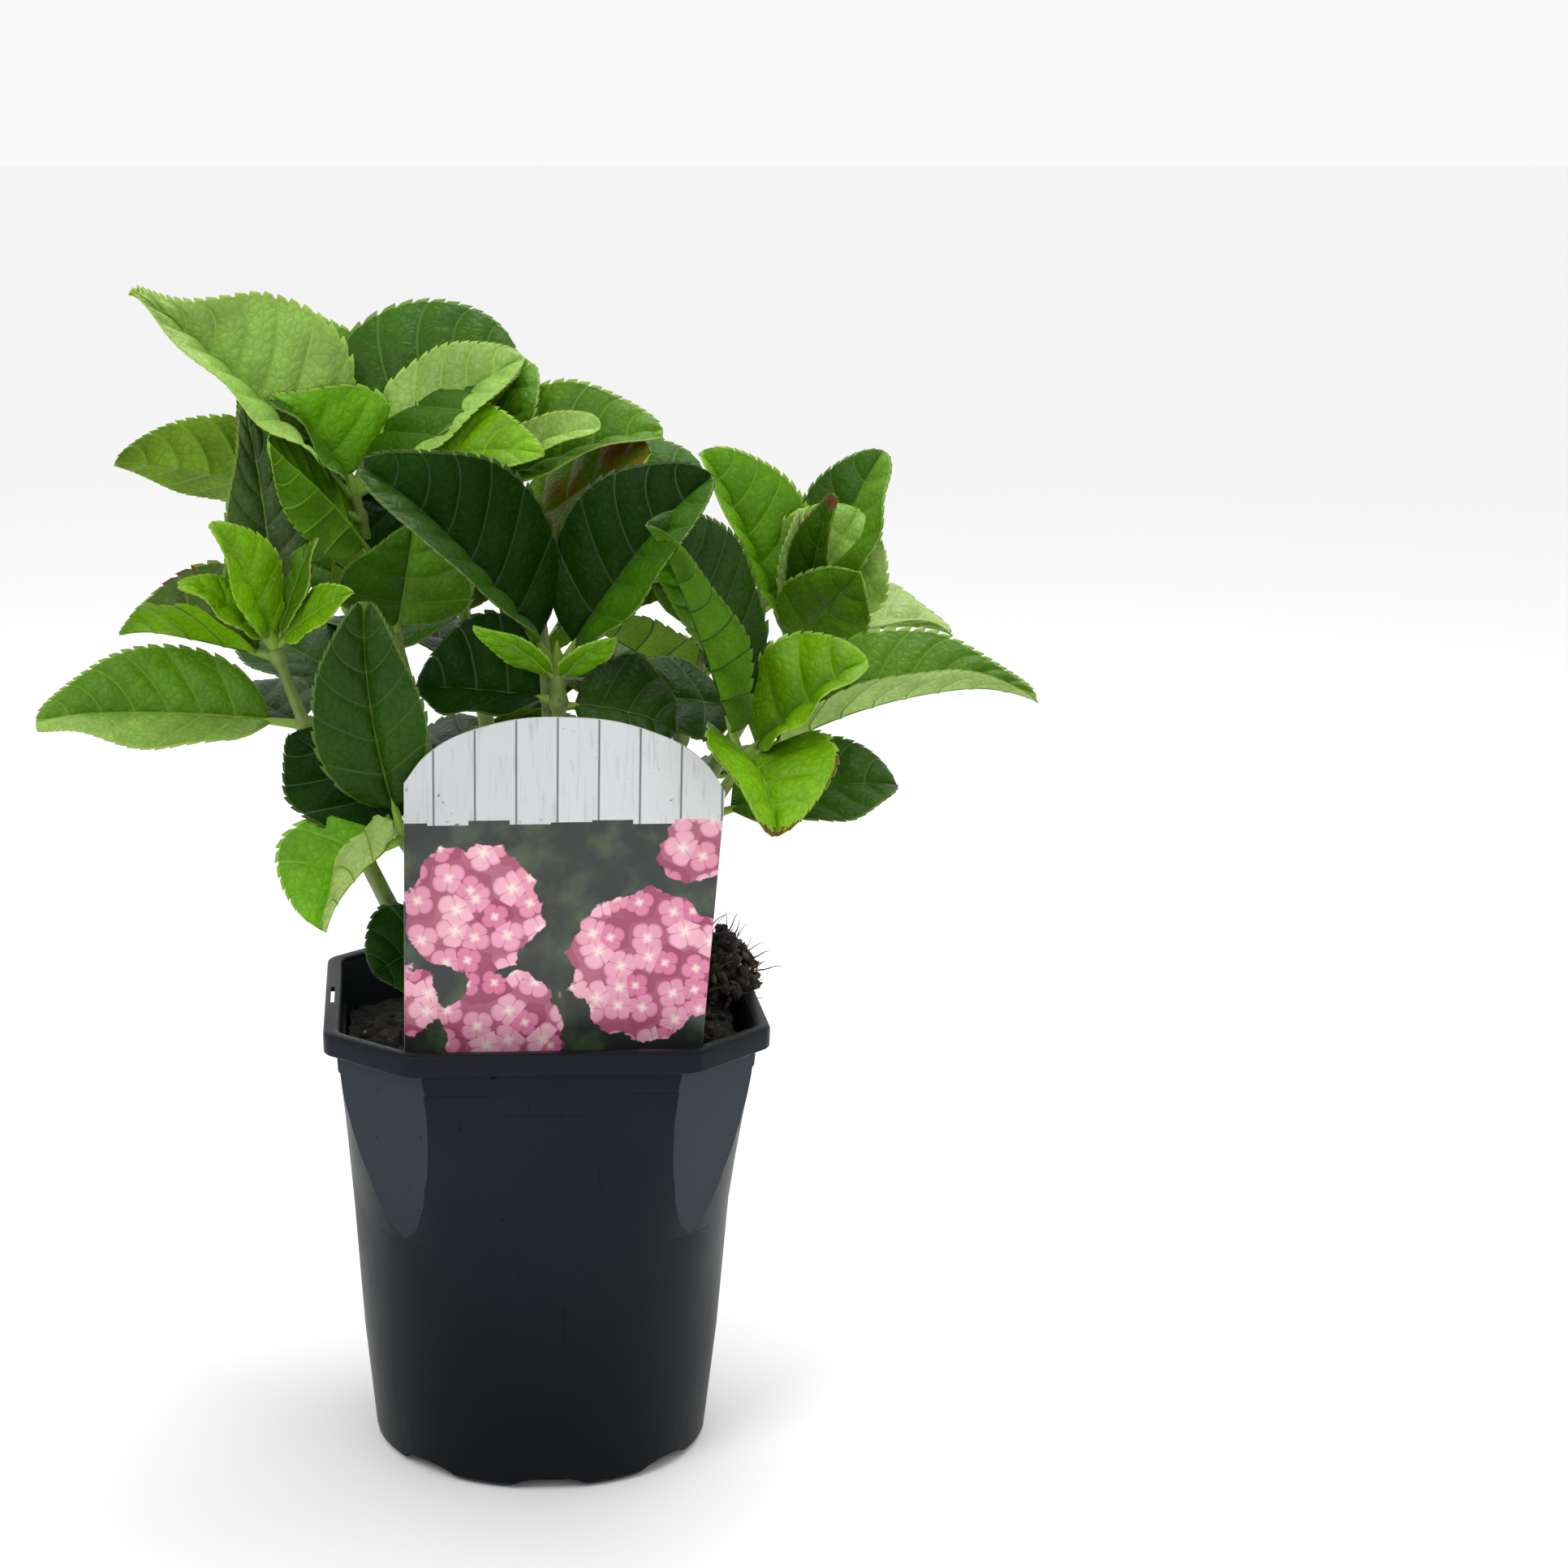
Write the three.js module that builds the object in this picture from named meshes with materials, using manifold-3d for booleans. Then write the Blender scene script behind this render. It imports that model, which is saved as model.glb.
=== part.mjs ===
// A young hydrangea shrub in its square-rimmed nursery pot, with its label card.
// Millimetres, +Z up. The origin is the centre of the pot's flat underside, the
// card stands at the -Y side, and the pot's flats lie along X and Y.
import * as THREE from "three";
import Module from "manifold-3d";

const wasm = await Module();
wasm.setup();

// Driving dimensions
const CLEARANCE = 0.3;            // gap that touching pieces keep
const RIM_HALF = 71;              // half of the rim across its flats
const RIM_CUT = 26;               // how far the rim's corners are cut back along its sides
const RIM_BULGE = 0.5;            // how far the cut faces stand out at their middle
const RIM_TOP = 153;              // height of the pot
const SKIRT_DEPTH = 7;            // height of the band under the rim
const SKIRT_WALL = 1.3;
const FLANGE_THICK = 1.6;
const LIP_WIDTH = 4.6;            // flat top of the rim, outside to inside
const WALL = 1.3;                 // pot wall
const FLOOR = 2;                  // pot floor
const FOOT_HALF = 53;           // half width of the flat underside
const NOTCH_COUNT = 8;            // arched drain notches round the foot
const NOTCH_RADIUS = 13;
const NOTCH_HEIGHT = 4.5;
const SLOT_LENGTH = 18;           // hanger slot through the rim's flange
const SLOT_WIDTH = 1.3;
const SOIL_LEVEL = 136;           // top of the potting soil on its low side
const HEAP_HEIGHT = 34;           // root ball heaped up at the right and back
const HEAP_AT = { x: 57, y: 10 };
const HEAP_SPREAD = { x: 13, y: 27 };
const CARD_WIDTH = 98.2;            // label card at its widest
const CARD_TOP = 257;             // height that the card's arched top reaches
const CARD_BOTTOM = 118;          // tip of the card's spike in the soil
const CARD_THICK = 1.2;
const CARD_LEAN = 2.6;            // degrees that the card leans forward
const CARD_TILT = 2.2;            // degrees that it tips to the right
const CARD_FOOT_AT = { x: -0.2, y: -55.5 };
const CANE_FOOT_Z = 126;          // canes are rooted this deep in the soil
const CANE_RADIUS = { foot: 3.3, fork: 2.5, tip: 1.3 };
const CANE_SHARE = 0.6;           // part of each shoot that is bare cane
const LEAF_THICK = 1.2;
const PETIOLE_SHARE = 0.13;       // part of a leaf's centre line that is stalk
const PETIOLE_RADIUS = 1.1;

// Each shoot rises from its foot, past its bend, to its crown. Each leaf grows on its
// shoot at a share of the shoot's length. Its heading is the level direction of its
// tip (0 is +X, 90 is +Y), rise is how far the tip points up, droop is how far its
// centre line bends down on the way, fold is how far each half is raised from flat,
// and roll turns the blade about its centre line. Belly is where it is widest.
const SHOOTS = {
  upper_left: {
    foot: [-12, 2], bend: [-34, -4, 226], crown: [-59, -4, 318],
    leaves: [
      { at: 1, heading: -163, rise: 43, length: 94, width: 62, fold: 41, roll: -54, belly: 0.35, twist: -15 },
      { at: 1, heading: 127, rise: 57, length: 70, width: 52, fold: 12, roll: -20, belly: 0.36 },
      { at: 1, heading: 15, rise: 37, length: 69, width: 58, droop: 85, fold: 19, roll: 35, belly: 0.5 },
      { at: 1, heading: -155, rise: 49, length: 42, width: 48, droop: 28, fold: 42, roll: -60, belly: 0.3 },
      { at: 0.96, heading: -173, rise: 15, length: 79, width: 45, droop: 15, roll: 44 },
      { at: 0.88, heading: -130, rise: 39, length: 67, width: 34, droop: 20, fold: 12, roll: 112 },
      { at: 0.75, heading: -74, rise: 61, length: 44, width: 42, droop: -10, fold: 12, roll: 170 },
      { at: 1, heading: -12, rise: 39, length: 69, width: 37, droop: 17, fold: 26, roll: 48, belly: 0.48 },
      { at: 1, heading: -34, rise: 14, length: 71, width: 38, droop: 30, roll: 42, belly: 0.4 },
    ],
  },
  left: {
    foot: [-18, -8], bend: [-62, -22, 206], crown: [-84, -32, 274],
    leaves: [
      { at: 0.97, heading: 158, rise: 83, length: 81, width: 27, fold: 18, roll: -50, belly: 0.36 },
      { at: 0.98, heading: 159, rise: 7, length: 53, width: 50, fold: 51, roll: -15, belly: 0.4 },
      { at: 1, heading: -122, rise: 55, length: 50, width: 26, fold: 25, roll: -88 },
      { at: 1, heading: -19, rise: 69, length: 37, width: 15, droop: 5, fold: 10, roll: 51 },
      { at: 1, heading: -148, rise: 37, length: 39, width: 16, droop: 25, fold: 12, roll: -51 },
      { at: 1, heading: -41, rise: 32, length: 38, width: 16, droop: 20, fold: 12, roll: 57 },
      { at: 1, heading: -123, rise: 61, length: 32, width: 16, droop: 5, roll: -98 },
      { at: 1, heading: 148, rise: 56, length: 31, width: 18, droop: 5, fold: 10, roll: -96 },
      { at: 0.82, heading: 179, rise: 2, length: 84, width: 42, droop: 12, fold: 28, roll: -42 },
      { at: 0.8, heading: 124, rise: 5, length: 62, width: 36, droop: 20, fold: 10, roll: -6 },
    ],
  },
  low_left: {
    foot: [-16, -18], bend: [-30, -44, 176], crown: [-45, -55, 219],
    leaves: [
      { at: 1, heading: -174, rise: 81, length: 73, width: 38, droop: -20, fold: 31, roll: -103 },
      { at: 0.97, heading: 149, rise: 37, length: 52, width: 44, droop: 20, fold: 6, roll: -26 },
      { at: 1, heading: -135, rise: -33, length: 42, width: 48, droop: 45, fold: 52, roll: 9, belly: 0.5 },
      { at: 0.56, heading: -173, rise: -20, length: 24, width: 34, droop: 50, roll: -73 },
    ],
  },
  top: {
    foot: [-4, 8], bend: [-12, 4, 240], crown: [-34, 0, 316],
    leaves: [
      { at: 1, heading: 20, rise: 52, length: 54, width: 44, droop: 8, fold: 35, roll: 50 },
      { at: 0.98, heading: -16, rise: 21, length: 77, width: 54, fold: 29, roll: 30 },
      { at: 1, heading: -36, rise: 24, length: 66, width: 20, droop: 12, roll: 40, belly: 0.6 },
      { at: 0.93, heading: 167, rise: 19, length: 32, width: 36, droop: 20, fold: 10, roll: -50 },
    ],
  },
  top_right: {
    foot: [6, 10], bend: [8, 4, 240], crown: [-5, -8, 306],
    leaves: [
      { at: 1, heading: -27, rise: 33, length: 50, width: 52, droop: 15, fold: 6, roll: 38 },
      { at: 0.98, heading: 7, rise: 19, length: 61, width: 50, droop: 25, fold: 12, roll: 32, belly: 0.55 },
    ],
  },
  centre: {
    foot: [4, -10], bend: [6, -34, 190], crown: [3, -44, 268],
    leaves: [
      { at: 1, heading: -160, rise: 47, length: 90, width: 56, droop: 18, fold: 37, roll: -54, twist: -25 },
      { at: 1, heading: -17, rise: 53, length: 77, width: 50, droop: 16, fold: 28, roll: 52, belly: 0.48 },
      { at: 0.97, heading: -143, rise: 32, length: 39, width: 13, droop: 30, fold: 12, roll: -154 },
      { at: 0.97, heading: -54, rise: 33, length: 32, width: 13, droop: 30, fold: 12, roll: 163 },
      { at: 0.94, heading: 165, rise: 3, length: 46, width: 50, fold: 32, roll: -36 },
      { at: 0.93, heading: -6, rise: -12, length: 38, width: 44, droop: 30, fold: 12, roll: 32 },
    ],
  },
  right: {
    foot: [18, -6], bend: [34, -30, 196], crown: [60, -50, 240],
    leaves: [
      { at: 1, heading: -153, rise: 66, length: 83, width: 56, droop: 12, fold: 40, roll: -41, belly: 0.55 },
      { at: 1, heading: -24, rise: 43, length: 51, width: 42, droop: 12, fold: 33, roll: 42, belly: 0.5 },
      { at: 1, heading: -5, rise: 15, length: 93, width: 47, droop: 38, fold: 42, roll: 12 },
      { at: 1, heading: -82, rise: -18, length: 44, width: 46, droop: 70, fold: 38, roll: -4, belly: 0.46 },
      { at: 0.8, heading: 2, rise: 9, length: 61, width: 44, droop: 20, fold: 15, roll: 26, belly: 0.5 },
    ],
  },
  upper_right: {
    foot: [22, 8], bend: [42, 2, 216], crown: [83, -6, 270],
    leaves: [
      { at: 0.98, heading: -167, rise: 64, length: 71, width: 41, droop: 6, fold: 40, roll: -60, belly: 0.5 },
      { at: 1, heading: 0, rise: 68, length: 66, width: 36, droop: 12, fold: 14, roll: 38, belly: 0.48 },
      { at: 1, heading: -85, rise: 56, length: 60, width: 19, droop: 6, roll: 120, belly: 0.4 },
      { at: 1, heading: -103, rise: 79, length: 44, width: 14, droop: 4, fold: 45, roll: 150, belly: 0.4 },
      { at: 1, heading: -26, rise: 67, length: 47, width: 42, droop: 14, fold: 15, roll: 95, belly: 0.5 },
      { at: 0.95, heading: -68, rise: 37, length: 53, width: 30, droop: 6, fold: 10, roll: 130, belly: 0.48 },
      { at: 0.98, heading: 7, rise: 5, length: 53, width: 42, droop: 35, fold: 26, roll: 11 },
      { at: 0.85, heading: -139, rise: 46, length: 74, width: 20, droop: 12, fold: 50, roll: -135, belly: 0.5 },
      { at: 0.8, heading: -158, rise: 9, length: 49, width: 36, droop: 20, fold: 6, roll: -35 },
    ],
  },
};

// Shoots of the crown's far side: their leaves come in crossed pairs by a seeded rule.
const FAR_SHOOTS = {
  far_left: { foot: [-12, 16], bend: [-44, 38, 206], crown: [-62, 50, 272], seed: 11, turn: 40 },
  far_middle: { foot: [0, 22], bend: [-4, 58, 214], crown: [-6, 72, 286], seed: 23, turn: 80 },
  far_right: { foot: [14, 20], bend: [46, 40, 200], crown: [58, 50, 262], seed: 37, turn: 20 },
};
const PAIR_NODES = [0.62, 0.74, 0.86, 0.97];   // shares of the shoot that carry a pair
const PAIR_LENGTH = { low: 84, top: 52 };
const PAIR_RISE = { low: 2, top: 52 };
const PAIR_WIDTH_SHARE = 0.68;
const PAIR_DROOP = 34;
const PAIR_FOLD = 16;
const PAIR_FRONT_LIMIT = 16;                    // no tip of theirs comes nearer than this

// Leaf and shoot defaults
const LEAF_DEFAULTS = { droop: 9, fold: 20, roll: 0, twist: 0, belly: 0.43 };
const BLADE_STATIONS = [0, 0.12, 0.33, 0.6, 0.83, 1];
const SMALL_BLADE_STATIONS = [0, 0.16, 0.45, 0.8, 1];
const SMALL_BLADE = 60;                         // leaves shorter than this use those
const RING_SEGMENTS = 5;

const radians = THREE.MathUtils.degToRad;
const vector = (x, y, z) => new THREE.Vector3(x, y, z);
const mix = (a, b, share) => a + (b - a) * share;

// Solids

/** A closed solid skinned over rings of points, with a fan over each end. */
function skin(rings) {
  const count = rings[0].length;
  const points = rings.flat();
  const faces = [];
  for (let r = 0; r + 1 < rings.length; r += 1) {
    for (let i = 0; i < count; i += 1) {
      const next = (i + 1) % count;
      const [a, b] = [r * count + i, r * count + next];
      faces.push(a, b, b + count, a, b + count, a + count);
    }
  }
  const last = (rings.length - 1) * count;
  points.push(middle(rings[0]), middle(rings.at(-1)));
  for (let i = 0; i < count; i += 1) {
    const next = (i + 1) % count;
    faces.push(points.length - 2, next, i, points.length - 1, last + i, last + next);
  }
  const flat = new Float32Array(points.flatMap((p) => [p.x, p.y, p.z]));
  return new wasm.Manifold(new wasm.Mesh({
    numProp: 3,
    vertProperties: flat,
    triVerts: new Uint32Array(faces),
  }));
}

function middle(ring) {
  const sum = ring.reduce((total, p) => total.add(p), vector(0, 0, 0));
  return sum.divideScalar(ring.length);
}

/** A round limb through the points, as thick at each as its radius says. */
function limb(points, radii, sides) {
  const rings = points.map((point, i) => {
    const before = points[Math.max(i - 1, 0)];
    const after = points[Math.min(i + 1, points.length - 1)];
    const along = after.clone().sub(before).normalize();
    const across = vector(0, 1, 0).cross(along).normalize();
    const upward = along.clone().cross(across);
    return Array.from({ length: sides }, (_, s) => {
      const angle = (2 * Math.PI * s) / sides;
      return point.clone()
        .addScaledVector(across, radii[i] * Math.cos(angle))
        .addScaledVector(upward, radii[i] * Math.sin(angle));
    });
  });
  return skin(rings);
}

function join(solids) {
  return solids.reduce((total, solid) => total.add(solid));
}

/** The largest piece of a cut solid. Loose scraps and sealed hollows are dropped. */
function mainBody(solid) {
  const pieces = solid.decompose();
  return pieces.reduce((best, piece) => (piece.volume() > best.volume() ? piece : best));
}

function toGeometry(solid) {
  const mesh = solid.getMesh();
  const geometry = new THREE.BufferGeometry();
  geometry.setAttribute("position", new THREE.BufferAttribute(mesh.vertProperties, 3));
  geometry.setIndex(new THREE.BufferAttribute(mesh.triVerts, 1));
  geometry.computeVertexNormals();
  return geometry;
}

// Pot

/** How far out a square's corner reaches when this much is cut off along each side. */
const cutReach = (half, cut) => (2 * half - cut) / Math.SQRT2;

/**
 * A square ring with rounded corners, in the plane at height z. Where a reach is
 * given, the corners are cut off flat at that distance from the axis.
 */
function squareRing({ half, corner, z, reach = Infinity }) {
  const ring = [];
  const centre = half - corner;
  for (let quarter = 0; quarter < 4; quarter += 1) {
    for (let step = 0; step <= RING_SEGMENTS; step += 1) {
      const angle = (quarter + step / RING_SEGMENTS) * (Math.PI / 2);
      const [sx, sy] = [[1, 1], [-1, 1], [-1, -1], [1, -1]][quarter];
      const x = sx * centre + corner * Math.cos(angle);
      const y = sy * centre + corner * Math.sin(angle);
      const over = Math.max((sx * x + sy * y) / Math.SQRT2 - reach, 0) / Math.SQRT2;
      ring.push(vector(x - sx * over, y - sy * over, z));
    }
  }
  return ring;
}

// Outside of the pot's body, from the foot up: height, half width, corner radius. The
// body is round at the foot, and flat faces open at its corners as it rises.
const BODY = [
  { z: 0, half: FOOT_HALF, corner: FOOT_HALF - 1 },
  { z: 2, half: 56, corner: 55 },
  { z: 38, half: 59.6, corner: 57 },
  { z: 84, half: 62.6, corner: 57 },
  { z: 104, half: 63.8, corner: 48 },
  { z: 122, half: 64.9, corner: 38 },
  { z: 138, half: 66, corner: 28 },
  { z: 139, half: 66.6, corner: 28 },
  { z: RIM_TOP - FLANGE_THICK, half: 67.2, corner: 24 },
];
const FACE_FOOT = { z: 84, reach: 65 };          // where the corners' flat faces begin
const FACE_TOP = { z: RIM_TOP, reach: 77.5 };    // and how far out they are at the rim
const LIP_INSIDE = RIM_HALF - LIP_WIDTH;

/** How far out the flat faces at the corners are at a height. */
function faceReach(z) {
  if (z <= FACE_FOOT.z) {
    return Infinity;
  }
  return mix(FACE_FOOT.reach, FACE_TOP.reach, (z - FACE_FOOT.z) / (FACE_TOP.z - FACE_FOOT.z));
}

/** Section of the body at a height, this far inside its outer face. */
function bodySection(z, inset) {
  const above = Math.max(BODY.findIndex((station) => station.z >= z), 1);
  const [low, high] = [BODY[above - 1], BODY[above]];
  const share = (z - low.z) / (high.z - low.z);
  return {
    z,
    half: mix(low.half, high.half, share) - inset,
    corner: mix(low.corner, high.corner, share) - inset,
    reach: faceReach(z) - inset,
  };
}

/** Section of the rim at a height, this far inside its outer edge. */
function rimSection(z, inset) {
  return {
    z,
    half: RIM_HALF - inset,
    corner: RIM_CUT - inset,
    reach: cutReach(RIM_HALF, RIM_CUT) + RIM_BULGE - inset,
  };
}

/** The pot's wall, floor and rim. Extra makes its inner face that much thicker. */
function potShell(extra) {
  const skirtFoot = RIM_TOP - SKIRT_DEPTH;
  const rim = [
    rimSection(RIM_TOP - FLANGE_THICK, SKIRT_WALL),
    rimSection(skirtFoot, SKIRT_WALL),
    rimSection(skirtFoot, 0),
    rimSection(RIM_TOP - 0.8, 0),
    rimSection(RIM_TOP, 0.6),
    rimSection(RIM_TOP, LIP_WIDTH),
  ];
  const outside = BODY.map(({ z }) => bodySection(z, 0));
  const depths = [RIM_TOP - 3, 139, 138, 122, 104, 84, 38, FLOOR + extra];
  const inside = depths.map((z) => bodySection(z, WALL + extra));
  return skin([...outside, ...rim, ...inside].map(squareRing));
}

function potSolid() {
  return potShell(0).subtract(join(drainNotches())).subtract(hangerSlot());
}

/** Arched notches through the foot of the wall, evenly round it. */
function drainNotches() {
  const reach = 14;
  return Array.from({ length: NOTCH_COUNT }, (_, k) => {
    const angle = -Math.PI / 2 + (2 * Math.PI * k) / NOTCH_COUNT;
    const out = vector(Math.cos(angle), Math.sin(angle), 0);
    const side = vector(-out.y, out.x, 0);
    const rings = [FOOT_HALF - 5, FOOT_HALF + reach].map((distance) => {
      const arch = Array.from({ length: 7 }, (_, i) => {
        const turn = (Math.PI * i) / 6;
        return out.clone().multiplyScalar(distance)
          .addScaledVector(side, NOTCH_RADIUS * Math.cos(turn))
          .add(vector(0, 0, NOTCH_HEIGHT * Math.sin(turn)));
      });
      const sill = [-NOTCH_RADIUS, NOTCH_RADIUS].map((across) => out.clone()
        .multiplyScalar(distance).addScaledVector(side, across).add(vector(0, 0, -1)));
      return [...arch, ...sill];
    });
    return skin(rings);
  });
}

function hangerSlot() {
  const box = new THREE.BoxGeometry(SLOT_WIDTH, SLOT_LENGTH, 4 * FLANGE_THICK);
  box.translate((LIP_INSIDE + RIM_HALF) / -2, -1, RIM_TOP);
  return fromGeometry(box);
}

/** The closed solid of a three.js geometry, with its doubled corners merged. */
function fromGeometry(geometry) {
  const plain = geometry.index ? geometry.toNonIndexed() : geometry;
  const position = plain.attributes.position;
  const places = new Map();
  const points = [];
  const faces = [];
  for (let i = 0; i < position.count; i += 1) {
    const xyz = [position.getX(i), position.getY(i), position.getZ(i)];
    const key = xyz.map((value) => value.toFixed(4)).join(",");
    if (!places.has(key)) {
      places.set(key, points.length / 3);
      points.push(...xyz);
    }
    faces.push(places.get(key));
  }
  return new wasm.Manifold(new wasm.Mesh({
    numProp: 3,
    vertProperties: new Float32Array(points),
    triVerts: new Uint32Array(faces),
  }));
}

// Soil

function soilHeight(x, y) {
  const across = (x - HEAP_AT.x) / HEAP_SPREAD.x;
  const back = (y - HEAP_AT.y) / HEAP_SPREAD.y;
  const ripple = 1.2 * Math.sin(x * 0.31 + 1) * Math.cos(y * 0.27);
  return SOIL_LEVEL + ripple + HEAP_HEIGHT * Math.exp(-0.5 * (across * across + back * back));
}

/** A block that reaches into the wall, for the pot to be cut out of. */
function soilBlock() {
  const heights = [FLOOR, 38, 84, 104, 122, SOIL_LEVEL - 2];
  const side = heights.map((z) => squareRing(bodySection(z, WALL / 2)));
  const edge = squareRing(bodySection(SOIL_LEVEL - 2, WALL + 2 * CLEARANCE));
  const shares = [1, 0.94, 0.76, 0.5, 0.25];
  const top = shares.map((share, step) => edge.map((p) => {
    const [x, y] = [p.x * share, p.y * share];
    const limit = step === 0 ? RIM_TOP - 1 : Infinity;
    return vector(x, y, Math.min(soilHeight(x, y), limit));
  }));
  return skin([...side, ...top]);
}

// Label card

function cardOutline() {
  const half = CARD_WIDTH / 2;
  const foot = half - 2.6;
  const height = CARD_TOP - CARD_BOTTOM;
  const shoulder = height - 16;
  const spikeTop = 31;
  const outline = new THREE.Shape();
  outline.moveTo(-5, 0);
  outline.lineTo(5, 0);
  outline.lineTo(18, spikeTop - 5);
  outline.lineTo(foot, spikeTop);
  outline.lineTo(half, shoulder - 6);
  outline.quadraticCurveTo(half, shoulder, half - 8, shoulder + 4);
  outline.quadraticCurveTo(0, height + 12, -(half - 8), shoulder + 4);
  outline.quadraticCurveTo(-half, shoulder, -half, shoulder - 6);
  outline.lineTo(-foot, spikeTop);
  outline.lineTo(-18, spikeTop - 5);
  return outline;
}

function cardSolid(extra) {
  const depth = CARD_THICK + 2 * extra;
  const card = new THREE.ExtrudeGeometry(cardOutline(), {
    depth, bevelEnabled: extra > 0, bevelSize: extra, bevelThickness: 0.01, curveSegments: 6,
  });
  card.translate(0, 0, -depth / 2);
  card.rotateX(Math.PI / 2 + radians(CARD_LEAN));
  card.rotateY(radians(CARD_TILT));
  card.translate(CARD_FOOT_AT.x, CARD_FOOT_AT.y, CARD_BOTTOM);
  return fromGeometry(card);
}

// Shoots and leaves

function shootPoint(shoot, share) {
  const foot = vector(...shoot.foot, CANE_FOOT_Z);
  const curve = new THREE.QuadraticBezierCurve3(foot, vector(...shoot.bend), vector(...shoot.crown));
  return curve.getPoint(share);
}

function shootRadius(share) {
  return share < CANE_SHARE
    ? mix(CANE_RADIUS.foot, CANE_RADIUS.fork, share / CANE_SHARE)
    : mix(CANE_RADIUS.fork, CANE_RADIUS.tip, (share - CANE_SHARE) / (1 - CANE_SHARE));
}

/** The share of a shoot's curve that lies this many millimetres past the given share. */
function past(shoot, share, distance) {
  const step = 0.01;
  const length = shootPoint(shoot, share + step).distanceTo(shootPoint(shoot, share));
  return share + (distance * step) / length;
}

function shootLimb(shoot, from, to, steps, extra) {
  const shares = Array.from({ length: steps + 1 }, (_, i) => mix(from, to, i / steps));
  return limb(
    shares.map((share) => shootPoint(shoot, share)),
    shares.map((share) => shootRadius(share) + extra),
    7,
  );
}

/** Point and direction on a leaf's centre line, one arc from its root to its tip. */
function leafLine(leaf, root) {
  const heading = vector(Math.cos(radians(leaf.heading)), Math.sin(radians(leaf.heading)), 0);
  const bend = radians(leaf.droop);
  const start = radians(leaf.rise) + bend / 2;
  const arc = (leaf.length * (bend / 2)) / Math.sin(bend / 2);
  return (share) => {
    const angle = start - bend * share;
    const level = (arc * (Math.sin(start) - Math.sin(angle))) / bend;
    const height = (arc * (Math.cos(angle) - Math.cos(start))) / bend;
    return {
      point: root.clone().addScaledVector(heading, level).add(vector(0, 0, height)),
      along: heading.clone().multiplyScalar(Math.cos(angle)).add(vector(0, 0, Math.sin(angle))),
    };
  };
}

/** Half width of a blade at a share of its length, as a share of its greatest. */
function bladeProfile(share, belly) {
  const rise = 0.62;
  const fall = (rise * (1 - belly)) / belly;
  const peak = belly ** rise * (1 - belly) ** fall;
  return (share ** rise * (1 - share) ** fall) / peak;
}

/** A leaf: a slim stalk and a folded blade, as two overlapping solids. */
function leafSolids(shoot, spec, extra) {
  const leaf = { ...LEAF_DEFAULTS, ...spec };
  const line = leafLine(leaf, shootPoint(shoot, leaf.at));
  const level = vector(-Math.sin(radians(leaf.heading)), Math.cos(radians(leaf.heading)), 0);
  const thick = LEAF_THICK / 2 + extra;
  const fold = radians(leaf.fold);
  const stations = leaf.length < SMALL_BLADE ? SMALL_BLADE_STATIONS : BLADE_STATIONS;
  const rings = stations.map((share) => {
    const { point, along } = line(mix(PETIOLE_SHARE, 1, share));
    const turn = radians(leaf.roll + leaf.twist * (share - 0.5));
    const side = level.clone().applyAxisAngle(along, turn);
    const up = along.clone().cross(side);
    const least = mix(1, 0.5, share);
    const half = Math.max((leaf.width / 2) * bladeProfile(share, leaf.belly), least) + extra;
    const edge = (sign, face) => point.clone()
      .addScaledVector(side, sign * (half * Math.cos(fold) - face * thick * Math.sin(fold)))
      .addScaledVector(up, half * Math.sin(fold) + face * thick * Math.cos(fold));
    const spine = (face) => point.clone().addScaledVector(up, (face * thick) / Math.cos(fold));
    return [edge(1, 1), spine(1), edge(-1, 1), edge(-1, -1), spine(-1), edge(1, -1)];
  });
  const stalkShares = [0, PETIOLE_SHARE * 0.6, PETIOLE_SHARE * 1.35];
  const stalk = limb(
    stalkShares.map((share) => line(share).point),
    stalkShares.map(() => PETIOLE_RADIUS + extra),
    3,
  );
  return [skin(rings), stalk];
}

/** Leaves in crossed pairs up a far shoot, each a little varied by its seed. */
function pairedLeaves(shoot) {
  let state = shoot.seed;
  const vary = (spread) => {
    state = (1664525 * state + 1013904223) % 4294967296;
    return spread * ((2 * state) / 4294967296 - 1);
  };
  const leaves = [];
  PAIR_NODES.forEach((at, node) => {
    const height = node / (PAIR_NODES.length - 1);
    for (const opposite of [0, 180]) {
      const length = mix(PAIR_LENGTH.low, PAIR_LENGTH.top, height) + vary(6);
      leaves.push({
        at,
        heading: shoot.turn + 90 * node + opposite + vary(12),
        rise: mix(PAIR_RISE.low, PAIR_RISE.top, height) + vary(8),
        length,
        width: length * PAIR_WIDTH_SHARE + vary(3),
        droop: PAIR_DROOP + vary(8),
        fold: PAIR_FOLD + vary(6),
        roll: vary(14),
      });
    }
  });
  return leaves.filter((leaf) => {
    const reach = leaf.length * Math.cos(radians(leaf.rise)) * Math.sin(radians(leaf.heading));
    return shootPoint(shoot, leaf.at).y + reach > PAIR_FRONT_LIMIT;
  });
}

function massParts(shoot, extra) {
  const start = past(shoot, CANE_SHARE, extra > 0 ? 0 : CLEARANCE);
  const leaves = shoot.leaves ?? pairedLeaves(shoot);
  return [
    shootLimb(shoot, start, 1, 5, extra),
    ...leaves.flatMap((leaf) => leafSolids(shoot, leaf, extra)),
  ];
}

// Colours
const finish = (color, roughness) => new THREE.MeshStandardMaterial({
  color, roughness, metalness: 0, side: THREE.FrontSide,
});
const POT_FINISH = finish(0x23282e, 0.45);
const SOIL_FINISH = finish(0x1c1510, 0.95);
const CARD_FINISH = finish(0xc9d2d6, 0.4);
const CANE_FINISH = finish(0x6c6a3a, 0.7);
const LEAF_FINISH = finish(0x3f7d22, 0.5);

// Assembly
const group = new THREE.Group();

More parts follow.
